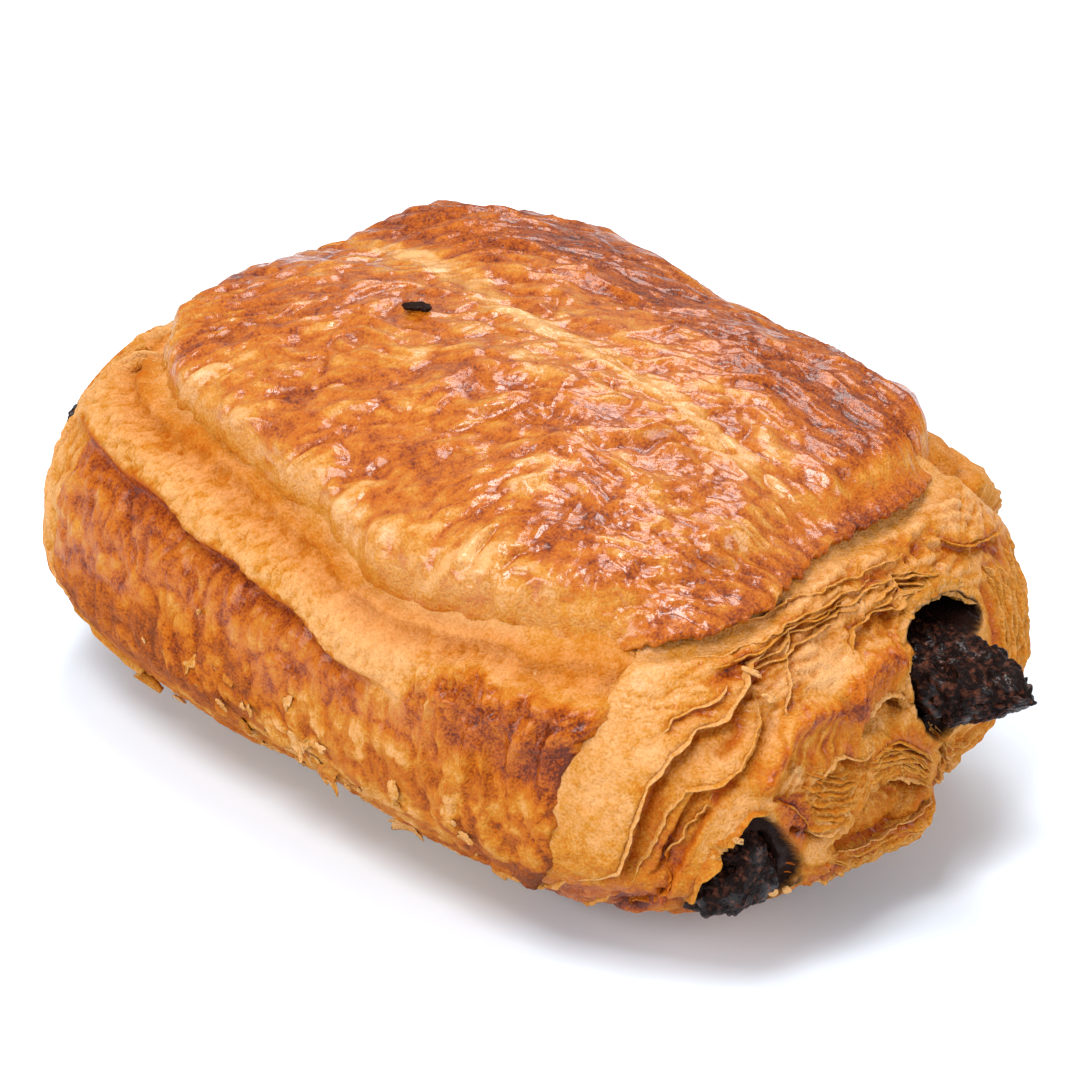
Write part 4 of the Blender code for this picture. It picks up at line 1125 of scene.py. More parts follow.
def chocolate_finish(colours):
    """Dark chocolate that has melted and set in the oven: rough, crumbly, with a few red-brown bits."""
    made, tree, shader = new_finish("baked_chocolate")
    dark = tuple(colours.chocolate)
    darkest = tuple(c * 0.4 for c in dark)
    specks = speckle(tree, 1500, 5, (-900, 200))
    tone = ramp(tree, specks, [(0.0, darkest), (0.50, dark), (0.60, (0.045, 0.014, 0.008)),
                               (0.70, (0.090, 0.027, 0.013)), (0.80, (0.17, 0.065, 0.035))], (-500, 200))
    worn = speckle(tree, 700, 3, (-900, -200))
    rough = ramp(tree, worn, [(0.42, (0.12, 0.12, 0.12)), (0.60, (0.44, 0.44, 0.44))], (-500, -200))
    smears = speckle(tree, 420, 4, (-900, -500))
    melted = ramp(tree, smears, [(0.50, (0.0, 0.0, 0.0)), (0.62, (0.45, 0.45, 0.45))], (-500, -500))
    crumbs = sum_of(tree, specks, speckle(tree, 4200, 2, (-700, -500)), (-400, -400))
    tree.links.new(tone, shader.inputs["Base Color"])
    tree.links.new(rough, shader.inputs["Roughness"])
    tree.links.new(melted, shader.inputs["Coat Weight"])
    tree.links.new(bump_normal(tree, crumbs, 0.6, 0.0005, (-200, -300)), shader.inputs["Normal"])
    shader.inputs["Specular IOR Level"].default_value = 0.05
    shader.inputs["Coat Roughness"].default_value = 0.16
    return made


def floor_finish():
    """The pale, faintly uneven floor."""
    made, tree, shader = new_finish("pale_floor")
    tone = ramp(tree, speckle(tree, 3, 2, (-700, 0)), [(0.3, (0.80, 0.89, 0.98)), (0.7, (0.81, 0.90, 0.99))],
                (-400, 0))
    tree.links.new(tone, shader.inputs["Base Color"])
    shader.inputs["Roughness"].default_value = 0.9
    shader.inputs["Specular IOR Level"].default_value = 0.1
    return made


def baked_crust(scene):
    """The crust's finish, made when it is first asked for."""
    return bpy.data.materials.get("baked_crust") or crust_finish(scene.pastry_colours, scene.pastry_sizes)


def baked_chocolate(scene):
    """The chocolate's finish, made when it is first asked for."""
    return bpy.data.materials.get("baked_chocolate") or chocolate_finish(scene.pastry_colours)


# What a user may change.

class PastryColours(PropertyGroup):
    """Colours of the dough and the chocolate."""

    pale: FloatVectorProperty(name="Pale dough", description="Dough that the oven barely coloured",
                              subtype="COLOR", size=3, min=0, max=1, default=(0.56, 0.262, 0.084))
    golden: FloatVectorProperty(name="Golden crust", description="Evenly baked crust",
                                subtype="COLOR", size=3, min=0, max=1, default=(0.475, 0.186, 0.021))
    brown: FloatVectorProperty(name="Brown crust", description="Well baked crust",
                               subtype="COLOR", size=3, min=0, max=1, default=(0.415, 0.100, 0.004))
    dark: FloatVectorProperty(name="Dark crust", description="Crust on the crests that burn first",
                              subtype="COLOR", size=3, min=0, max=1, default=(0.24, 0.040, 0.003))
    dry: FloatVectorProperty(name="Dry skin", description="Dull skin low on the sides",
                             subtype="COLOR", size=3, min=0, max=1, default=(0.34, 0.115, 0.034))
    chocolate: FloatVectorProperty(name="Chocolate", description="The baked chocolate",
                                   subtype="COLOR", size=3, min=0, max=1, default=(0.008, 0.0033, 0.0026))


class PastrySizes(PropertyGroup):
    """Sizes of the sheets and the crumbs."""

    sheet: FloatProperty(name="Top sheet thickness", description="How thick the edge of the top sheet is",
                         subtype="DISTANCE", unit="LENGTH", min=0.0003, max=0.003, default=0.0008)
    wrinkles: FloatProperty(name="Wrinkle height", subtype="FACTOR",
                            description="Height of the top sheet's wrinkles, 1 as baked",
                            min=0, max=2, default=1.0)
    egg_wash: FloatProperty(name="Egg wash", description="How glossy the glazed crust is",
                            subtype="FACTOR", min=0, max=1, default=0.85)
    flakes: IntProperty(name="Loose flakes", description="How many small flakes lie on the pastry",
                        min=0, max=200, default=46)
    floor: FloatProperty(name="Floor size", description="Width of the floor under the pastry",
                         subtype="DISTANCE", unit="LENGTH", min=0.5, max=10, default=4.0)


class EndFace:
    """Where an end's folds lie, as a field over (across, height)."""

    cell = 0.25
    low = np.array([-34.0, 0.0])
    counts = (272, 150)
    unknown = -1e3
    far_folds_at = -47.0

    def __init__(self, far):
        self.far = far
        self.facing = -1 if far else 1
        angles = even_angles(-52 + 180 * far, 50 + 180 * far, 300)
        climbs = even_climbs(angles, 170, 1.0)
        points, _ = end_surface(np.repeat(angles, climbs.shape[1]), climbs.ravel(), far, 0.0)
        field = np.full(self.counts, self.unknown)
        place = ((points[:, 1:] - self.low) / self.cell).round().astype(int)
        keep = np.all((place >= 0) & (place < self.counts), axis=1)
        np.maximum.at(field, tuple(place[keep].T), self.facing * points[keep, 0])
        self.field = self.smoothed(np.maximum(self.filled(field), 20))
        broad = self.field
        for _ in range(12):
            broad = (broad + sum(self.around(broad, 2))) / 5
        self.slopes = np.gradient(broad, self.cell)

    def around(self, field, step):
        """The field moved by a step to each of its four sides."""
        return [np.roll(field, shift, axis) for axis in (0, 1) for shift in (step, -step)]

    def filled(self, field):
        """The field with its empty cells filled in from their neighbours."""
        for _ in range(40):
            empty = field == self.unknown
            around = np.stack(self.around(field, 1))
            known = around != self.unknown
            count = known.sum(axis=0)
            mean = np.where(known, around, 0).sum(axis=0) / np.maximum(count, 1)
            field = np.where(empty & (count > 0), mean, field)
        return field

    def smoothed(self, field):
        """The field with each cell eased towards its neighbours, twice."""
        for _ in range(2):
            field = 0.5 * field + 0.125 * sum(self.around(field, 1))
        return field

    def sample(self, field, place):
        """A field's values at (across, height) places."""
        spot = np.clip((place - self.low) / self.cell, 0, np.array(self.counts) - 1.001)
        cell = spot.astype(int)
        i, j = cell.T
        u, v = (spot - cell).T
        return (field[i, j] * (1 - u) * (1 - v) + field[i + 1, j] * u * (1 - v)
                + field[i, j + 1] * (1 - u) * v + field[i + 1, j + 1] * u * v)

    def at(self, place):
        """Points on the folds and the ways out of the end there."""
        out = np.stack([np.full(len(place), self.facing), -self.sample(self.slopes[0], place),
                        -self.sample(self.slopes[1], place)], axis=1)
        out /= np.linalg.norm(out, axis=1, keepdims=True)
        return np.column_stack([self.facing * self.sample(self.field, place), place]), out

    def laid(self, line):
        """The near end's line as it lies on this end."""
        line = np.array(line, float)
        place = line.copy()
        for _ in range(4 * self.far):
            over, up = far_shift(np.column_stack([np.full(len(place), self.far_folds_at), place]))
            place = line - np.column_stack([over, up])
        return place


# The pieces.

def either(full):
    return full


class PASTRY_OT_end(Operator):
    """Makes the folded near end"""

    bl_idname = "pastry.folded_end"
    bl_label = "Folded end"

    def execute(self, context):
        angles = even_angles(-52, 50, either(430))
        climbs = even_climbs(angles, either(218), 1.2)
        piece = wall_piece("folded_end", lambda angle, climb: end_surface(angle, climb, False, 1.3),
                           angles, climbs, baked_crust(context.scene))
        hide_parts("pastry")
        return {"FINISHED"}


class PASTRY_OT_skin(Operator):
    """Makes the skin round the sides and the far end, with its rolled rim"""

    bl_idname = "pastry.side_skin"
    bl_label = "Side skin"

    def execute(self, context):
        angles = even_angles(SKIN_FROM, SKIN_TO, either(720), self.finer)
        climbs = even_climbs(angles, either(122), 1.2)
        piece = wall_piece("side_skin", rolled_rim, angles, climbs, baked_crust(context.scene))
        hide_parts("pastry")
        return {"FINISHED"}

    def finer(self, points):
        """How much closer the columns stand on the side in view and on the far end."""
        return 1 + 0.6 * (points[:, 1] < -20) + 0.2 * (points[:, 0] < -40)


class PASTRY_OT_cap(Operator):
    """Makes the glazed top sheet with its overhanging edge"""

    bl_idname = "pastry.glazed_top"
    bl_label = "Glazed top"

    # The rounded edge in section: how far out, in shares of its reach, and how high, in sheet thicknesses.
    section = [(0.35, 0.0), (0.8, -0.12), (1.0, -0.4), (0.98, -0.7), (0.75, -1.0), (0.0, -1.15), (-1.5, -1.3)]

    def execute(self, context):
        sizes = context.scene.pastry_sizes
        along, across = either(336), either(234)
        u, v = np.meshgrid(np.linspace(-1, 1, along), np.linspace(-1, 1, across))
        angle, climb, ring = cap_points(u.ravel(), v.ravel())
        points = pillow(angle, climb)
        rise, bake, gloss, flow = cap_relief(points)
        inward = (1 - ring) * WIDTH / 2

        # The edge hangs free over the near end. Elsewhere it is swollen, and pressed on the skin.
        free, lobes = open_share(points), lumps(points, 7, 178.5)
        front = smooth_step(-points[:, 1] / 10)
        swell = (0.4 + 0.7 * front) * (1 + 0.7 * lobes) * bump(inward - 3.8, 3.0) - 2.2 * bump(inward, 1.9)
        rise = sizes.wrinkles * rise * (0.55 + 0.45 * smooth_step((1 - ring) / 0.10)) + 0.15
        rise += 0.35 * bump(inward, 3.5) * free + swell * (1 - free)
        moved = points + pillow_normals(angle, climb) * rise[:, None]

        # The free edge browns in lobes. The pressed one is dull and pale, with a dark seam at its very edge
        # that is painted shade of the crease where it meets the skin.
        bake = bake + 0.12 * free * np.clip(0.4 + 1.2 * lobes, -0.2, 1) * bump(inward, 2.0)
        pressed = (1 - free) * smooth_step((4.2 + 1.6 * lumps(points, 4, 179.5) - inward) / 3.0)
        bake += pressed * (0.34 + 0.16 * cloud(points, 2.2, 177.5, 3) - bake)
        bake += (1 - free) * bump(inward, 1.2) * np.clip(0.7 + 0.6 * lobes, 0, 1) * (0.70 - bake)
        gloss = gloss * (1 - 0.6 * pressed)

        grid = np.arange(across * along).reshape(across, along)
        rim = np.concatenate([grid[0], grid[1:, -1], grid[-1, -2::-1], grid[-2:0:-1, 0]])
        shade = {"bake": bake, "gloss": gloss, "weave": flow, "crease": np.zeros(len(points))}
        edge, shade = self.edge(moved[rim], angle[rim], climb[rim], rim, shade, sizes.sheet / MM)
        faces = grid_faces(across, along, False).tolist() + self.edge_faces(rim, len(points))
        piece = new_piece("glazed_top", np.vstack([moved, edge]), faces, shade, baked_crust(context.scene))
        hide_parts("pastry")
        return {"FINISHED"}

    def edge(self, top, angle, climb, rim, shade, thick):
        """Points of the rounded edge and of the hidden underside, and the shades with theirs added."""
        base, normal = pillow(angle, climb), pillow_normals(angle, climb)
        uphill = np.cross(np.cross(normal, [0, 0, 1.0]), normal)
        downhill = -uphill / np.linalg.norm(uphill, axis=1, keepdims=True)
        torn = 0.30 * lumps(base, 2.4, 181.5) + 0.40 * lumps(base, 0.9, 183.5)
        torn = torn * (0.5 + 0.8 * smooth_step((base[:, 0] - 20) / 12))
        reach = (0.55 + 0.2 * lumps(base, 7, 185.5) + torn) * (0.35 + 0.65 * open_share(base))
        rings = [top + downhill * (out * reach)[:, None] + normal * (rise * thick)
                 for out, rise in self.section]

        count = len(self.section)
        ring = np.repeat(np.arange(1, count + 1), len(rim))
        # Painted shade: the underside of the edge takes the crease tint.
        added = {
            "bake": np.append(np.tile(shade["bake"][rim], count) - 0.05 * (ring > 3), 0.25),
            "gloss": np.append(np.where(ring > 3, 0.1, 0.4), 0.1),
            "crease": np.append(0.6 * (ring > 4), 0.6),
            "weave": np.vstack([np.tile(shade["weave"][rim], (count, 1)), shade["weave"][:1]]),
        }
        shade = {key: np.concatenate([values, added[key]]) for key, values in shade.items()}
        return np.vstack(rings + [[[0, 0, HEIGHT - 1.0]]]), shade

    def edge_faces(self, rim, total):
        """Faces from the rim through each ring of the edge to the point under the crown."""
        faces = []
        rings = [rim] + [total + step * len(rim) + np.arange(len(rim)) for step in range(len(self.section))]
        for upper, lower in zip(rings[:-1], rings[1:]):
            faces += np.stack([np.roll(upper, -1), upper, lower, np.roll(lower, -1)], axis=1).tolist()
        apex = total + len(self.section) * len(rim)
        last = rings[-1].tolist()
        return faces + [(b, a, apex) for a, b, _ in fan(last + last[:1], apex)]


class PASTRY_OT_batons(Operator):
    """Makes the two rough chocolate batons"""

    bl_idname = "pastry.chocolate_batons"
    bl_label = "Chocolate batons"

    def execute(self, context):
        for seed, (side, baton) in enumerate({"left": LEFT_BATON, "right": RIGHT_BATON}.items()):
            points, faces = self.shape(baton, seed)
            piece = new_piece("chocolate_" + side, points, faces, {}, baked_chocolate(context.scene))
            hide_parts("chocolate_baton_" + side)
        return {"FINISHED"}

    def shape(self, baton, seed):
        """Points and faces of one baton, crumbly at both ends."""
        columns, fine = 150, 12
        low, high = baton["back"] + 0.3, baton["front"] - 0.3
        length = high - low
        steps = np.concatenate([np.linspace(0, fine, 60), np.linspace(fine + 1.5, length - fine - 1.5, 30),
                                length - np.linspace(fine, 0, 60)])
        turn, run = np.meshgrid(np.arange(columns) / columns * 2 * math.pi, low + steps)
        turn, run = turn.ravel(), run.ravel()
        middle = np.stack([run, *baton_middle(baton, run)], axis=1)
        square = (np.abs(np.cos(turn)) ** 4 + np.abs(np.sin(turn)) ** 4) ** (-1 / 4)
        half_wide, half_high = baton["wide"] / 2 + 0.35, baton["high"] / 2 + 0.3
        out = np.stack([0 * run, np.cos(turn) * half_wide, np.sin(turn) * half_high], axis=1)
        out *= square[:, None]
        if baton is RIGHT_BATON:
            girth = self.leaning_tip(turn, run, middle, out)
        else:
            girth = self.narrow_front(turn, run, high, out)
        girth = girth * np.sqrt(1 - 0.8 * np.clip((low + 4.5 - run) / 4.5, 0, 1) ** 2)

        # Crumbs and bites are taken off the smooth skin, and the flat ends are left uneven.
        out = out * girth[:, None]
        skin = middle + out
        rough = 0.10 + 0.40 * (0.5 + 0.5 * lumps(skin, 3.0, seed + 195.3))
        rough += 0.55 * crests(skin, (1.9, 1.5, 1.5), seed + 197.3, 1.5)
        rough += 0.3 * crests(skin, 0.8, seed + 198.3)
        bites = smooth_step((lumps(skin, 2.6, seed + 194.3) - 0.25) / 0.3)
        rough += 0.9 * bites * smooth_step((run - 44) / 3)
        skin = middle + out * np.maximum(1 - rough / (np.linalg.norm(out, axis=1) + 0.3), 0.1)[:, None]
        ends = np.minimum(run - low, high - run)
        skin[:, 0] += 0.8 * cloud(skin, 2.2, seed + 199.3, 2) * smooth_step((1.6 - ends) / 1.6)
        skin[:, 0] = np.clip(skin[:, 0], low - 0.2, high + 0.2)

        points = np.vstack([skin, skin[:columns].mean(axis=0), skin[-columns:].mean(axis=0)])
        first = list(range(columns)) + [0]
        last = [(len(steps) - 1) * columns + column for column in first]
        faces = grid_faces(len(steps), columns, True).tolist()
        faces += [(b, a, back) for a, b, back in fan(first, len(skin))] + fan(last, len(skin) + 1)
        return points, [face[::-1] for face in faces]

    def leaning_tip(self, turn, run, middle, out):
        """Leans the right baton over, draws its tip aside and up, and gives its girth."""
        tip = np.clip((run - 47.3) / 7.1, 0, 1)
        front = smooth_step((run - 30) / 12)
        corner = bump(turn - math.radians(228), math.radians(50)) * front
        out[:, 1:] *= (1 - 0.20 * corner)[:, None]
        out[:, 2] *= 1 - 0.09 * front * (out[:, 2] < 0)
        out[:, 1] -= RIGHT_LEAN * out[:, 2] * front
        middle[:, 1] += tip * 1.6
        middle[:, 2] += tip * 1.4
        return 1 - 0.86 * tip**1.6

    def narrow_front(self, turn, run, high, out):
        """Narrows the upper half of the left baton's front, and gives its girth."""
        front = smooth_step((run - 30) / 10)
        out[:, 1] *= 1 - front * np.clip(0.88 * np.clip(np.sin(turn), 0, 1) ** 1.1, 0, 1)
        return np.sqrt(np.maximum(1 - 0.72 * np.clip((run - high + 4.5) / 4.5, 0, 1) ** 2, 0.05))


class PASTRY_OT_leaves(Operator):
    """Stands the thin leaves of dough on both ends"""

    bl_idname = "pastry.dough_leaves"
    bl_label = "Dough leaves"

    # A leaf in section: shares of its height, half thicknesses there, and how deep its root goes.
    shares = np.array([0, 0.4, 0.7, 0.9, 1.0])
    thin = np.array([0.16, 0.15, 0.12, 0.09, 0.05])
    root = 0.9
    family_points = 24

    def execute(self, context):
        self.points, self.faces, self.bake = [], [], []
        for face in (EndFace(False), EndFace(True)):
            self.add_leaves(face)
        points = np.concatenate(self.points)
        shade = {"bake": np.concatenate(self.bake), "gloss": 0.1, "weave": points}
        piece = new_piece("dough_leaves", points, self.faces, shade, baked_crust(context.scene))
        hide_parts("pastry")
        return {"FINISHED"}

    def add_leaves(self, face):
        """The leaves of one end: on its sheet edges, in their families, and round the left tunnel."""
        for number, edge in enumerate(SHEET_EDGES):
            tall = 0.35 + 0.5 * min(edge["lift"], 0.5)
            self.add_leaf(face, face.laid(edge["line"]), (tall, 0.6, edge["bake"] + 0.22), 201.5 + number)
        for number, family in enumerate(LEAF_FAMILIES):
            first, last = (self.evenly(face.laid(family[key]), self.family_points)
                           for key in ("first", "last"))
            look = (family["tall"], family["lean"], family["bake"])
            for step in range(family["count"]):
                share = step / (family["count"] - 1)
                line = first * (1 - share) + last * share
                seed = 231.5 + 3.1 * number + 0.37 * step
                way = np.column_stack([line, np.full(self.family_points, seed)])
                line = line + 0.28 * np.column_stack([lumps(way, 4.0, seed), lumps(way, 4.0, seed + 1)])
                cut = [int(5 * (0.5 + 0.5 * math.sin(turn * seed))) for turn in (7, 11)]
                self.add_leaf(face, line[cut[0]:self.family_points - cut[1]], look, seed)
        for number, (first, last) in enumerate([(80, 135), (140, 215)]):
            line = self.round_mouth(face, LEFT_BATON, np.radians(np.linspace(last, first, 40)))
            self.add_leaf(face, line, (0.8, -0.5, 0.52), 301.5 + 7 * number)

    def round_mouth(self, face, baton, turns):
        """Places just outside a tunnel's mouth, in the order of the turns."""
        reach = np.linspace(2.0, 9.0, 141)
        along = np.full(len(reach), MOUTH_AT * face.facing)
        across, height = baton_middle(baton, MOUTH_AT * face.facing)
        found = []
        for turn in turns:
            places = np.column_stack([along, across + reach * math.cos(turn),
                                      height + reach * math.sin(turn)])
            inside = baton_section(places, baton, 0.3, not face.far)
            found.append(places[np.argmin(np.abs(inside + 0.02)), 1:])
        return np.array(found)

    def evenly(self, line, count):
        """The line with this many evenly spaced points."""
        travelled = np.concatenate([[0], np.cumsum(np.linalg.norm(np.diff(line, axis=0), axis=1))])
        spots = np.linspace(0, travelled[-1], count)
        return np.column_stack([np.interp(spots, travelled, line[:, k]) for k in (0, 1)])

    def add_leaf(self, face, line, look, seed):
        """One thin leaf along a line, ragged on top and leaning to the line's right."""
        tall, lean, tone = look
        count = max(int(np.linalg.norm(np.diff(line, axis=0), axis=1).sum() / 0.22), 6)
        line = self.evenly(line, count)
        way = np.column_stack([line, np.full(count, seed)])
        run = np.gradient(line, axis=0)
        run /= np.linalg.norm(run, axis=1, keepdims=True) + 1e-9
        side = np.column_stack([run[:, 1], -run[:, 0]])
        base, out = face.at(line + side * (0.06 * lumps(way, 1.3, seed))[:, None])
        lateral = np.column_stack([np.zeros(count), side])
        lateral -= out * np.einsum("ij,ij->i", out, lateral)[:, None]
        lateral /= np.linalg.norm(lateral, axis=1, keepdims=True)

        # A leaf that leans to the right keeps clear of the batons, and is darker near the left one: partly
        # chocolate stain, partly painted shade.
        taper = ends_faded(np.linspace(0, 1, count), 0.14)
        stained_and_shaded = np.zeros(count)
        if lean > 0:
            for baton, clear in ((LEFT_BATON, 2.8), (RIGHT_BATON, 0.8)):
                taper = taper * smooth_step(-baton_section(base, baton, clear, not face.far) / 0.1)
            stained_and_shaded = smooth_step(1 + baton_section(base, LEFT_BATON, 3.0, not face.far) / 0.2)
        ragged = 0.75 + 0.6 * lumps(way, 2.6, seed + 5) + 0.18 * lumps(way, 0.6, seed + 7)
        height = tall * np.clip(ragged, 0.05, 1.4) * taper

        # Up one face of the leaf and down the other.
        shares = np.concatenate([self.shares, self.shares[::-1]])
        over = np.concatenate([self.thin, -self.thin[::-1]]) + lean * height[:, None] * shares**2
        rise = -self.root + (height[:, None] + self.root) * shares
        block = base[:, None] + out[:, None] * rise[..., None] + lateral[:, None] * over[..., None]
        block = block.reshape(-1, 3)
        ring = len(shares)
        start = sum(len(points) for points in self.points)
        self.points.append(block)
        self.bake.append(np.tile(tone + 0.14 * (0.5 - shares), count) + np.repeat(0.4 * stained_and_shaded, ring)
                         + 0.08 * lumps(block, 1.2, seed + 9))
        self.faces += (start + grid_faces(count, ring, True)[:, [0, 3, 2, 1]]).tolist()
        self.faces.append([start + k for k in range(ring)])
        self.faces.append([start + (count - 1) * ring + k for k in reversed(range(ring))])


class PASTRY_OT_flakes(Operator):
    """Lays small loose flakes and crumbs on the pastry"""

    bl_idname = "pastry.loose_flakes"
    bl_label = "Loose flakes"

    def execute(self, context):
        self.points, self.faces, self.bake = [], [], []
        draw = np.random.RandomState(19)
        for place, size, tone in self.seen_flakes():
            level = np.array([0.35, 0.3, 1.0]) if place[1][2] < 0.8 else np.array([0.74, -0.67, 0.3])
            self.add_flake(place, size, tone, draw, level)
        count = context.scene.pastry_sizes.flakes
        for place, size, tone in self.crumbs(draw, count) + self.low_flakes(draw, count):
            self.add_flake(place, size, tone, draw, draw.normal(size=3))
        points, bake = np.array(self.points), np.array(self.bake)
        shade = {"bake": bake, "stain_and_shade": smooth_step((bake - 0.95) / 0.1), "gloss": 0.1, "weave": points}
        new_piece("loose_flakes", points, self.faces, shade, baked_crust(context.scene))
        return {"FINISHED"}

    def seen_flakes(self):
        """The flakes that show on the near end, and the burnt speck on the top, of two pieces."""
        found = [(self.on_pillow(math.atan2(across, 42), height, 0.5), (long, wide, thick), tone)
                 for across, height, long, wide, thick, tone in SEEN_FLAKES]
        found.append((self.on_crown(-10.0, -7.0, 0.6), (2.3, 1.1, 0.6), 1.3))
        found.append((self.on_crown(-8.8, -6.7, 0.6), (1.0, 0.8, 0.5), 1.3))
        return found

    def crumbs(self, draw, count):
        """Small crumbs low on the sides and on the ends, clear of the batons."""
        found = []
        for _ in range(count):
            angle = math.radians(draw.choice([draw.uniform(228, 308), draw.uniform(52, 128)]))
            height = draw.uniform(5, 15) if draw.rand() < 0.7 else draw.uniform(15, 27)
            size = draw.uniform(0.5, 1.6)
            place = self.on_pillow(angle, height, 0.25)
            if max(baton_section(place[0][None], baton, 1.5)[0] for baton in (LEFT_BATON, RIGHT_BATON)) > 0:
                continue
            found.append((place, (size, size * draw.uniform(0.4, 0.8), 0.25), draw.uniform(0.0, 0.35)))
        return found

    def low_flakes(self, draw, count):
        """Broader flakes that hang on the foot of the long sides."""
        found = []
        for _ in range(count):
            angle = math.radians(draw.uniform(240, 306) if draw.rand() < 0.8 else draw.uniform(58, 125))
            size = draw.uniform(1.4, 2.4) if draw.rand() < 0.5 else draw.uniform(2.4, 5.0)
            height = draw.uniform(2.5, 13) if draw.rand() < 0.8 else draw.uniform(13, 17)
            place, normal = self.on_pillow(angle, height, 0.1)
            normal = normal + np.array([0, 0, draw.uniform(0.15, 0.4)])
            normal /= np.linalg.norm(normal)
            wide = size * draw.uniform(0.35, 0.7)
            found.append(((place, normal), (size, wide, 0.18), draw.uniform(0.1, 0.55)))
        return found

    def on_pillow(self, angle, height, out):
        """A point just outside the pillow at a plan angle and a height, with the way out."""
        climbs = np.linspace(-1.2, 1.2, 400)
        line = pillow(np.full(400, angle), climbs)
        return self.lifted(angle, climbs[np.argmin(np.abs(line[:, 2] - height))], out)

    def on_crown(self, along, across, out):
        """A point just above the top sheet, with the way out."""
        climbs = np.linspace(0.3, 1.56, 900)
        angle = math.atan2(across, along)
        line = pillow(np.full(900, angle), climbs)
        return self.lifted(angle, climbs[np.argmin(np.hypot(line[:, 0] - along, line[:, 1] - across))], out)

    def lifted(self, angle, climb, out):
        """The pillow's point at an angle and a climb, this far out, with the way out."""
        angle, climb = np.array([angle]), np.array([climb])
        normal = pillow_normals(angle, climb)[0]
        return pillow(angle, climb)[0] + out * normal, normal

    def add_flake(self, place, size, tone, draw, upward):
        """One bent, ragged flake of a few dozen faces."""
        middle, normal = place
        side = np.cross(normal, upward)
        side /= np.linalg.norm(side)
        over = np.cross(normal, side)
        rows, columns = 7, 18
        start = len(self.points)
        ragged = 1 + 0.42 * draw.normal(size=columns)
        ragged = np.clip(0.5 * ragged + 0.25 * (np.roll(ragged, 1) + np.roll(ragged, -1)), 0.5, 1.5)
        bend = draw.uniform(-0.5, 0.5)
        for row in range(rows):
            climb = math.pi * (row + 0.5) / rows - math.pi / 2
            for column in range(columns):
                turn = 2 * math.pi * column / columns
                girth = math.cos(climb) ** 0.5 * ragged[column]
                long = size[0] / 2 * girth * math.cos(turn)
                wide = size[1] / 2 * girth * math.sin(turn)
                thick = size[2] / 2 * math.sin(climb) + 0.3 * bend * (long**2 + wide**2)
                thick += 0.06 * draw.normal()
                self.points.append(tuple(middle + long * side + wide * over + thick * normal))
                self.bake.append(tone + 0.1 * draw.normal())
        self.faces += (start + grid_faces(rows, columns, True)).tolist()
        self.faces.append([start + column for column in reversed(range(columns))])
        self.faces.append([start + (rows - 1) * columns + column for column in range(columns)])


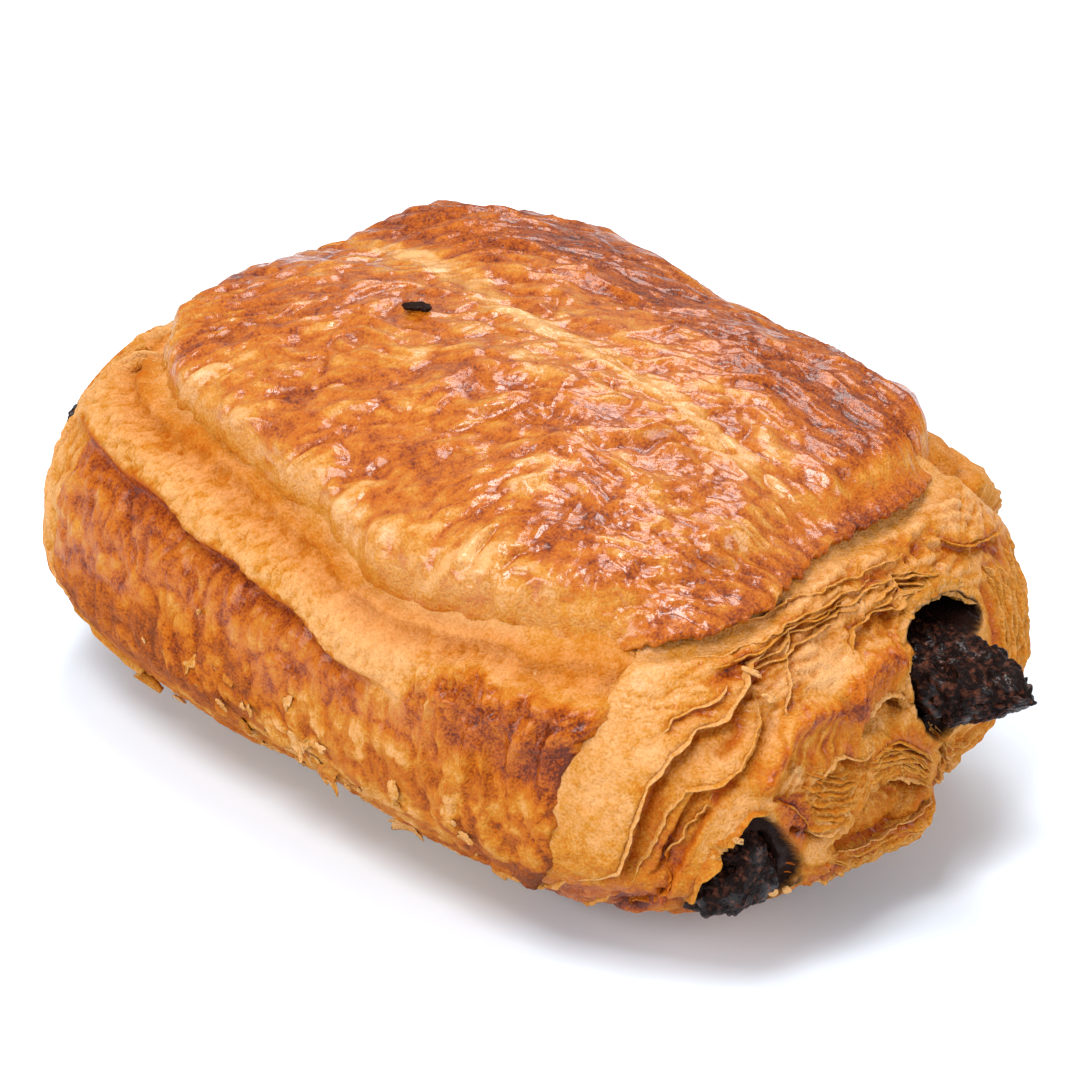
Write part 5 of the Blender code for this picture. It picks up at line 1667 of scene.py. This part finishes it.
class PASTRY_OT_stage(Operator):
    """Makes the pale floor, the soft lights and the camera"""

    bl_idname = "pastry.stage"
    bl_label = "Stage"

    # The camera: turn and lift round its target, distance in metres, and focal length in picture widths.
    turn, lift, distance = math.radians(48.1), math.radians(28.4), 0.597
    focal_length = 5.9125
    sensor = 36
    target = Vector((FRAME_SHIFT[0] * MM, 0, 0.0165))
    aim_up, aim_left = 0.00412, 0.00039

    def execute(self, context):
        scene = context.scene
        floor = self.floor(scene.pastry_sizes.floor)
        self.sky(scene)
        right = Vector((math.cos(self.turn), math.sin(self.turn), 0))
        back = Vector((math.sin(self.turn) * math.cos(self.lift), -math.cos(self.turn) * math.cos(self.lift),
                       math.sin(self.lift)))
        self.camera(scene, back, right)
        self.lamp("soft_front", back * 0.45 - right * 0.15 + Vector((0, 0, 0.45)), 0.24, 0.24, 3.8)
        self.lamp("soft_above", Vector((-0.05, 0.06, 0.62)), 0.26, 0.22, 1.7)
        self.lamp("soft_behind", Vector((-0.22, 0.30, 0.52)), 0.24, 0.20, 1.3)
        self.lamp("soft_left", back * 0.35 - right * 0.5 + Vector((0, 0, 0.1)), 0.34, 0.28, 2.35)
        self.lamp("soft_right", back * 0.35 + right * 0.5 + Vector((0, 0, 0.1)), 0.34, 0.28, 1.7)
        return {"FINISHED"}

    def floor(self, size):
        """A plain pale floor."""
        mesh = bpy.data.meshes.new("floor")
        half = size / 2
        corners = [(-half, -half, 0), (half, -half, 0), (half, half, 0), (-half, half, 0)]
        mesh.from_pydata(corners, [], [(0, 1, 2, 3)])
        mesh.materials.append(floor_finish())
        floor = bpy.data.objects.new("floor", mesh)
        bpy.context.scene.collection.objects.link(floor)
        return floor

    def sky(self, scene):
        """Even white light from all round."""
        world = bpy.data.worlds.new("studio")
        world.use_nodes = True
        light = world.node_tree.nodes["Background"]
        light.inputs["Color"].default_value = (0.97, 0.98, 1.0, 1)
        light.inputs["Strength"].default_value = 0.46
        scene.world = world
        scene.view_settings.view_transform = "Standard"

    def camera(self, scene, back, right):
        """A long lens at the height and side that show the near end."""
        up = back.cross(right)
        place = self.target + back * self.distance
        aim = place - (self.target + up * self.aim_up - right * self.aim_left)
        lens = bpy.data.cameras.new("camera")
        lens.sensor_width = self.sensor
        lens.lens = self.focal_length * self.sensor
        lens.clip_start = 0.01
        camera = bpy.data.objects.new("camera", lens)
        scene.collection.objects.link(camera)
        camera.location = place
        camera.rotation_euler = aim.to_track_quat("Z", "Y").to_euler()
        scene.camera = camera

    def lamp(self, name, place, wide, high, power):
        """A soft light that looks at the pastry."""
        data = bpy.data.lights.new(name, "AREA")
        data.shape = "RECTANGLE"
        data.size = wide
        data.size_y = high
        data.energy = power
        lamp = bpy.data.objects.new(name, data)
        bpy.context.scene.collection.objects.link(lamp)
        lamp.location = place
        lamp.rotation_euler = place.to_track_quat("Z", "Y").to_euler()


class PASTRY_PT_panel(Panel):
    """Lists the pieces and what may be changed"""

    bl_idname = "PASTRY_PT_panel"
    bl_label = "Pain au Chocolat"
    bl_space_type = "VIEW_3D"
    bl_region_type = "UI"
    bl_category = "Pastry"

    def draw(self, context):
        for group in (context.scene.pastry_colours, context.scene.pastry_sizes):
            column = self.layout.column(align=True)
            for key in group.__annotations__:
                column.prop(group, key)
        column = self.layout.column(align=True)
        for operator in PIECES:
            column.operator(operator.bl_idname)


PIECES = (PASTRY_OT_skin, PASTRY_OT_end, PASTRY_OT_cap, PASTRY_OT_batons, PASTRY_OT_leaves, PASTRY_OT_flakes,
          PASTRY_OT_stage)
CLASSES = (PastryColours, PastrySizes, *PIECES, PASTRY_PT_panel)


def register():
    """Tells Blender about the classes and their settings."""
    for made in CLASSES:
        bpy.utils.register_class(made)
    bpy.types.Scene.pastry_colours = PointerProperty(type=PastryColours)
    bpy.types.Scene.pastry_sizes = PointerProperty(type=PastrySizes)


def unregister():
    """Takes the classes and their settings out of Blender."""
    del bpy.types.Scene.pastry_colours
    del bpy.types.Scene.pastry_sizes
    for made in reversed(CLASSES):
        bpy.utils.unregister_class(made)


def main():
    """Builds every piece and the stage."""
    register()
    bpy.ops.pastry.side_skin()
    bpy.ops.pastry.folded_end()
    bpy.ops.pastry.glazed_top()
    bpy.ops.pastry.chocolate_batons()
    bpy.ops.pastry.dough_leaves()
    bpy.ops.pastry.loose_flakes()
    bpy.ops.pastry.stage()


if __name__ == "__main__":
    main()
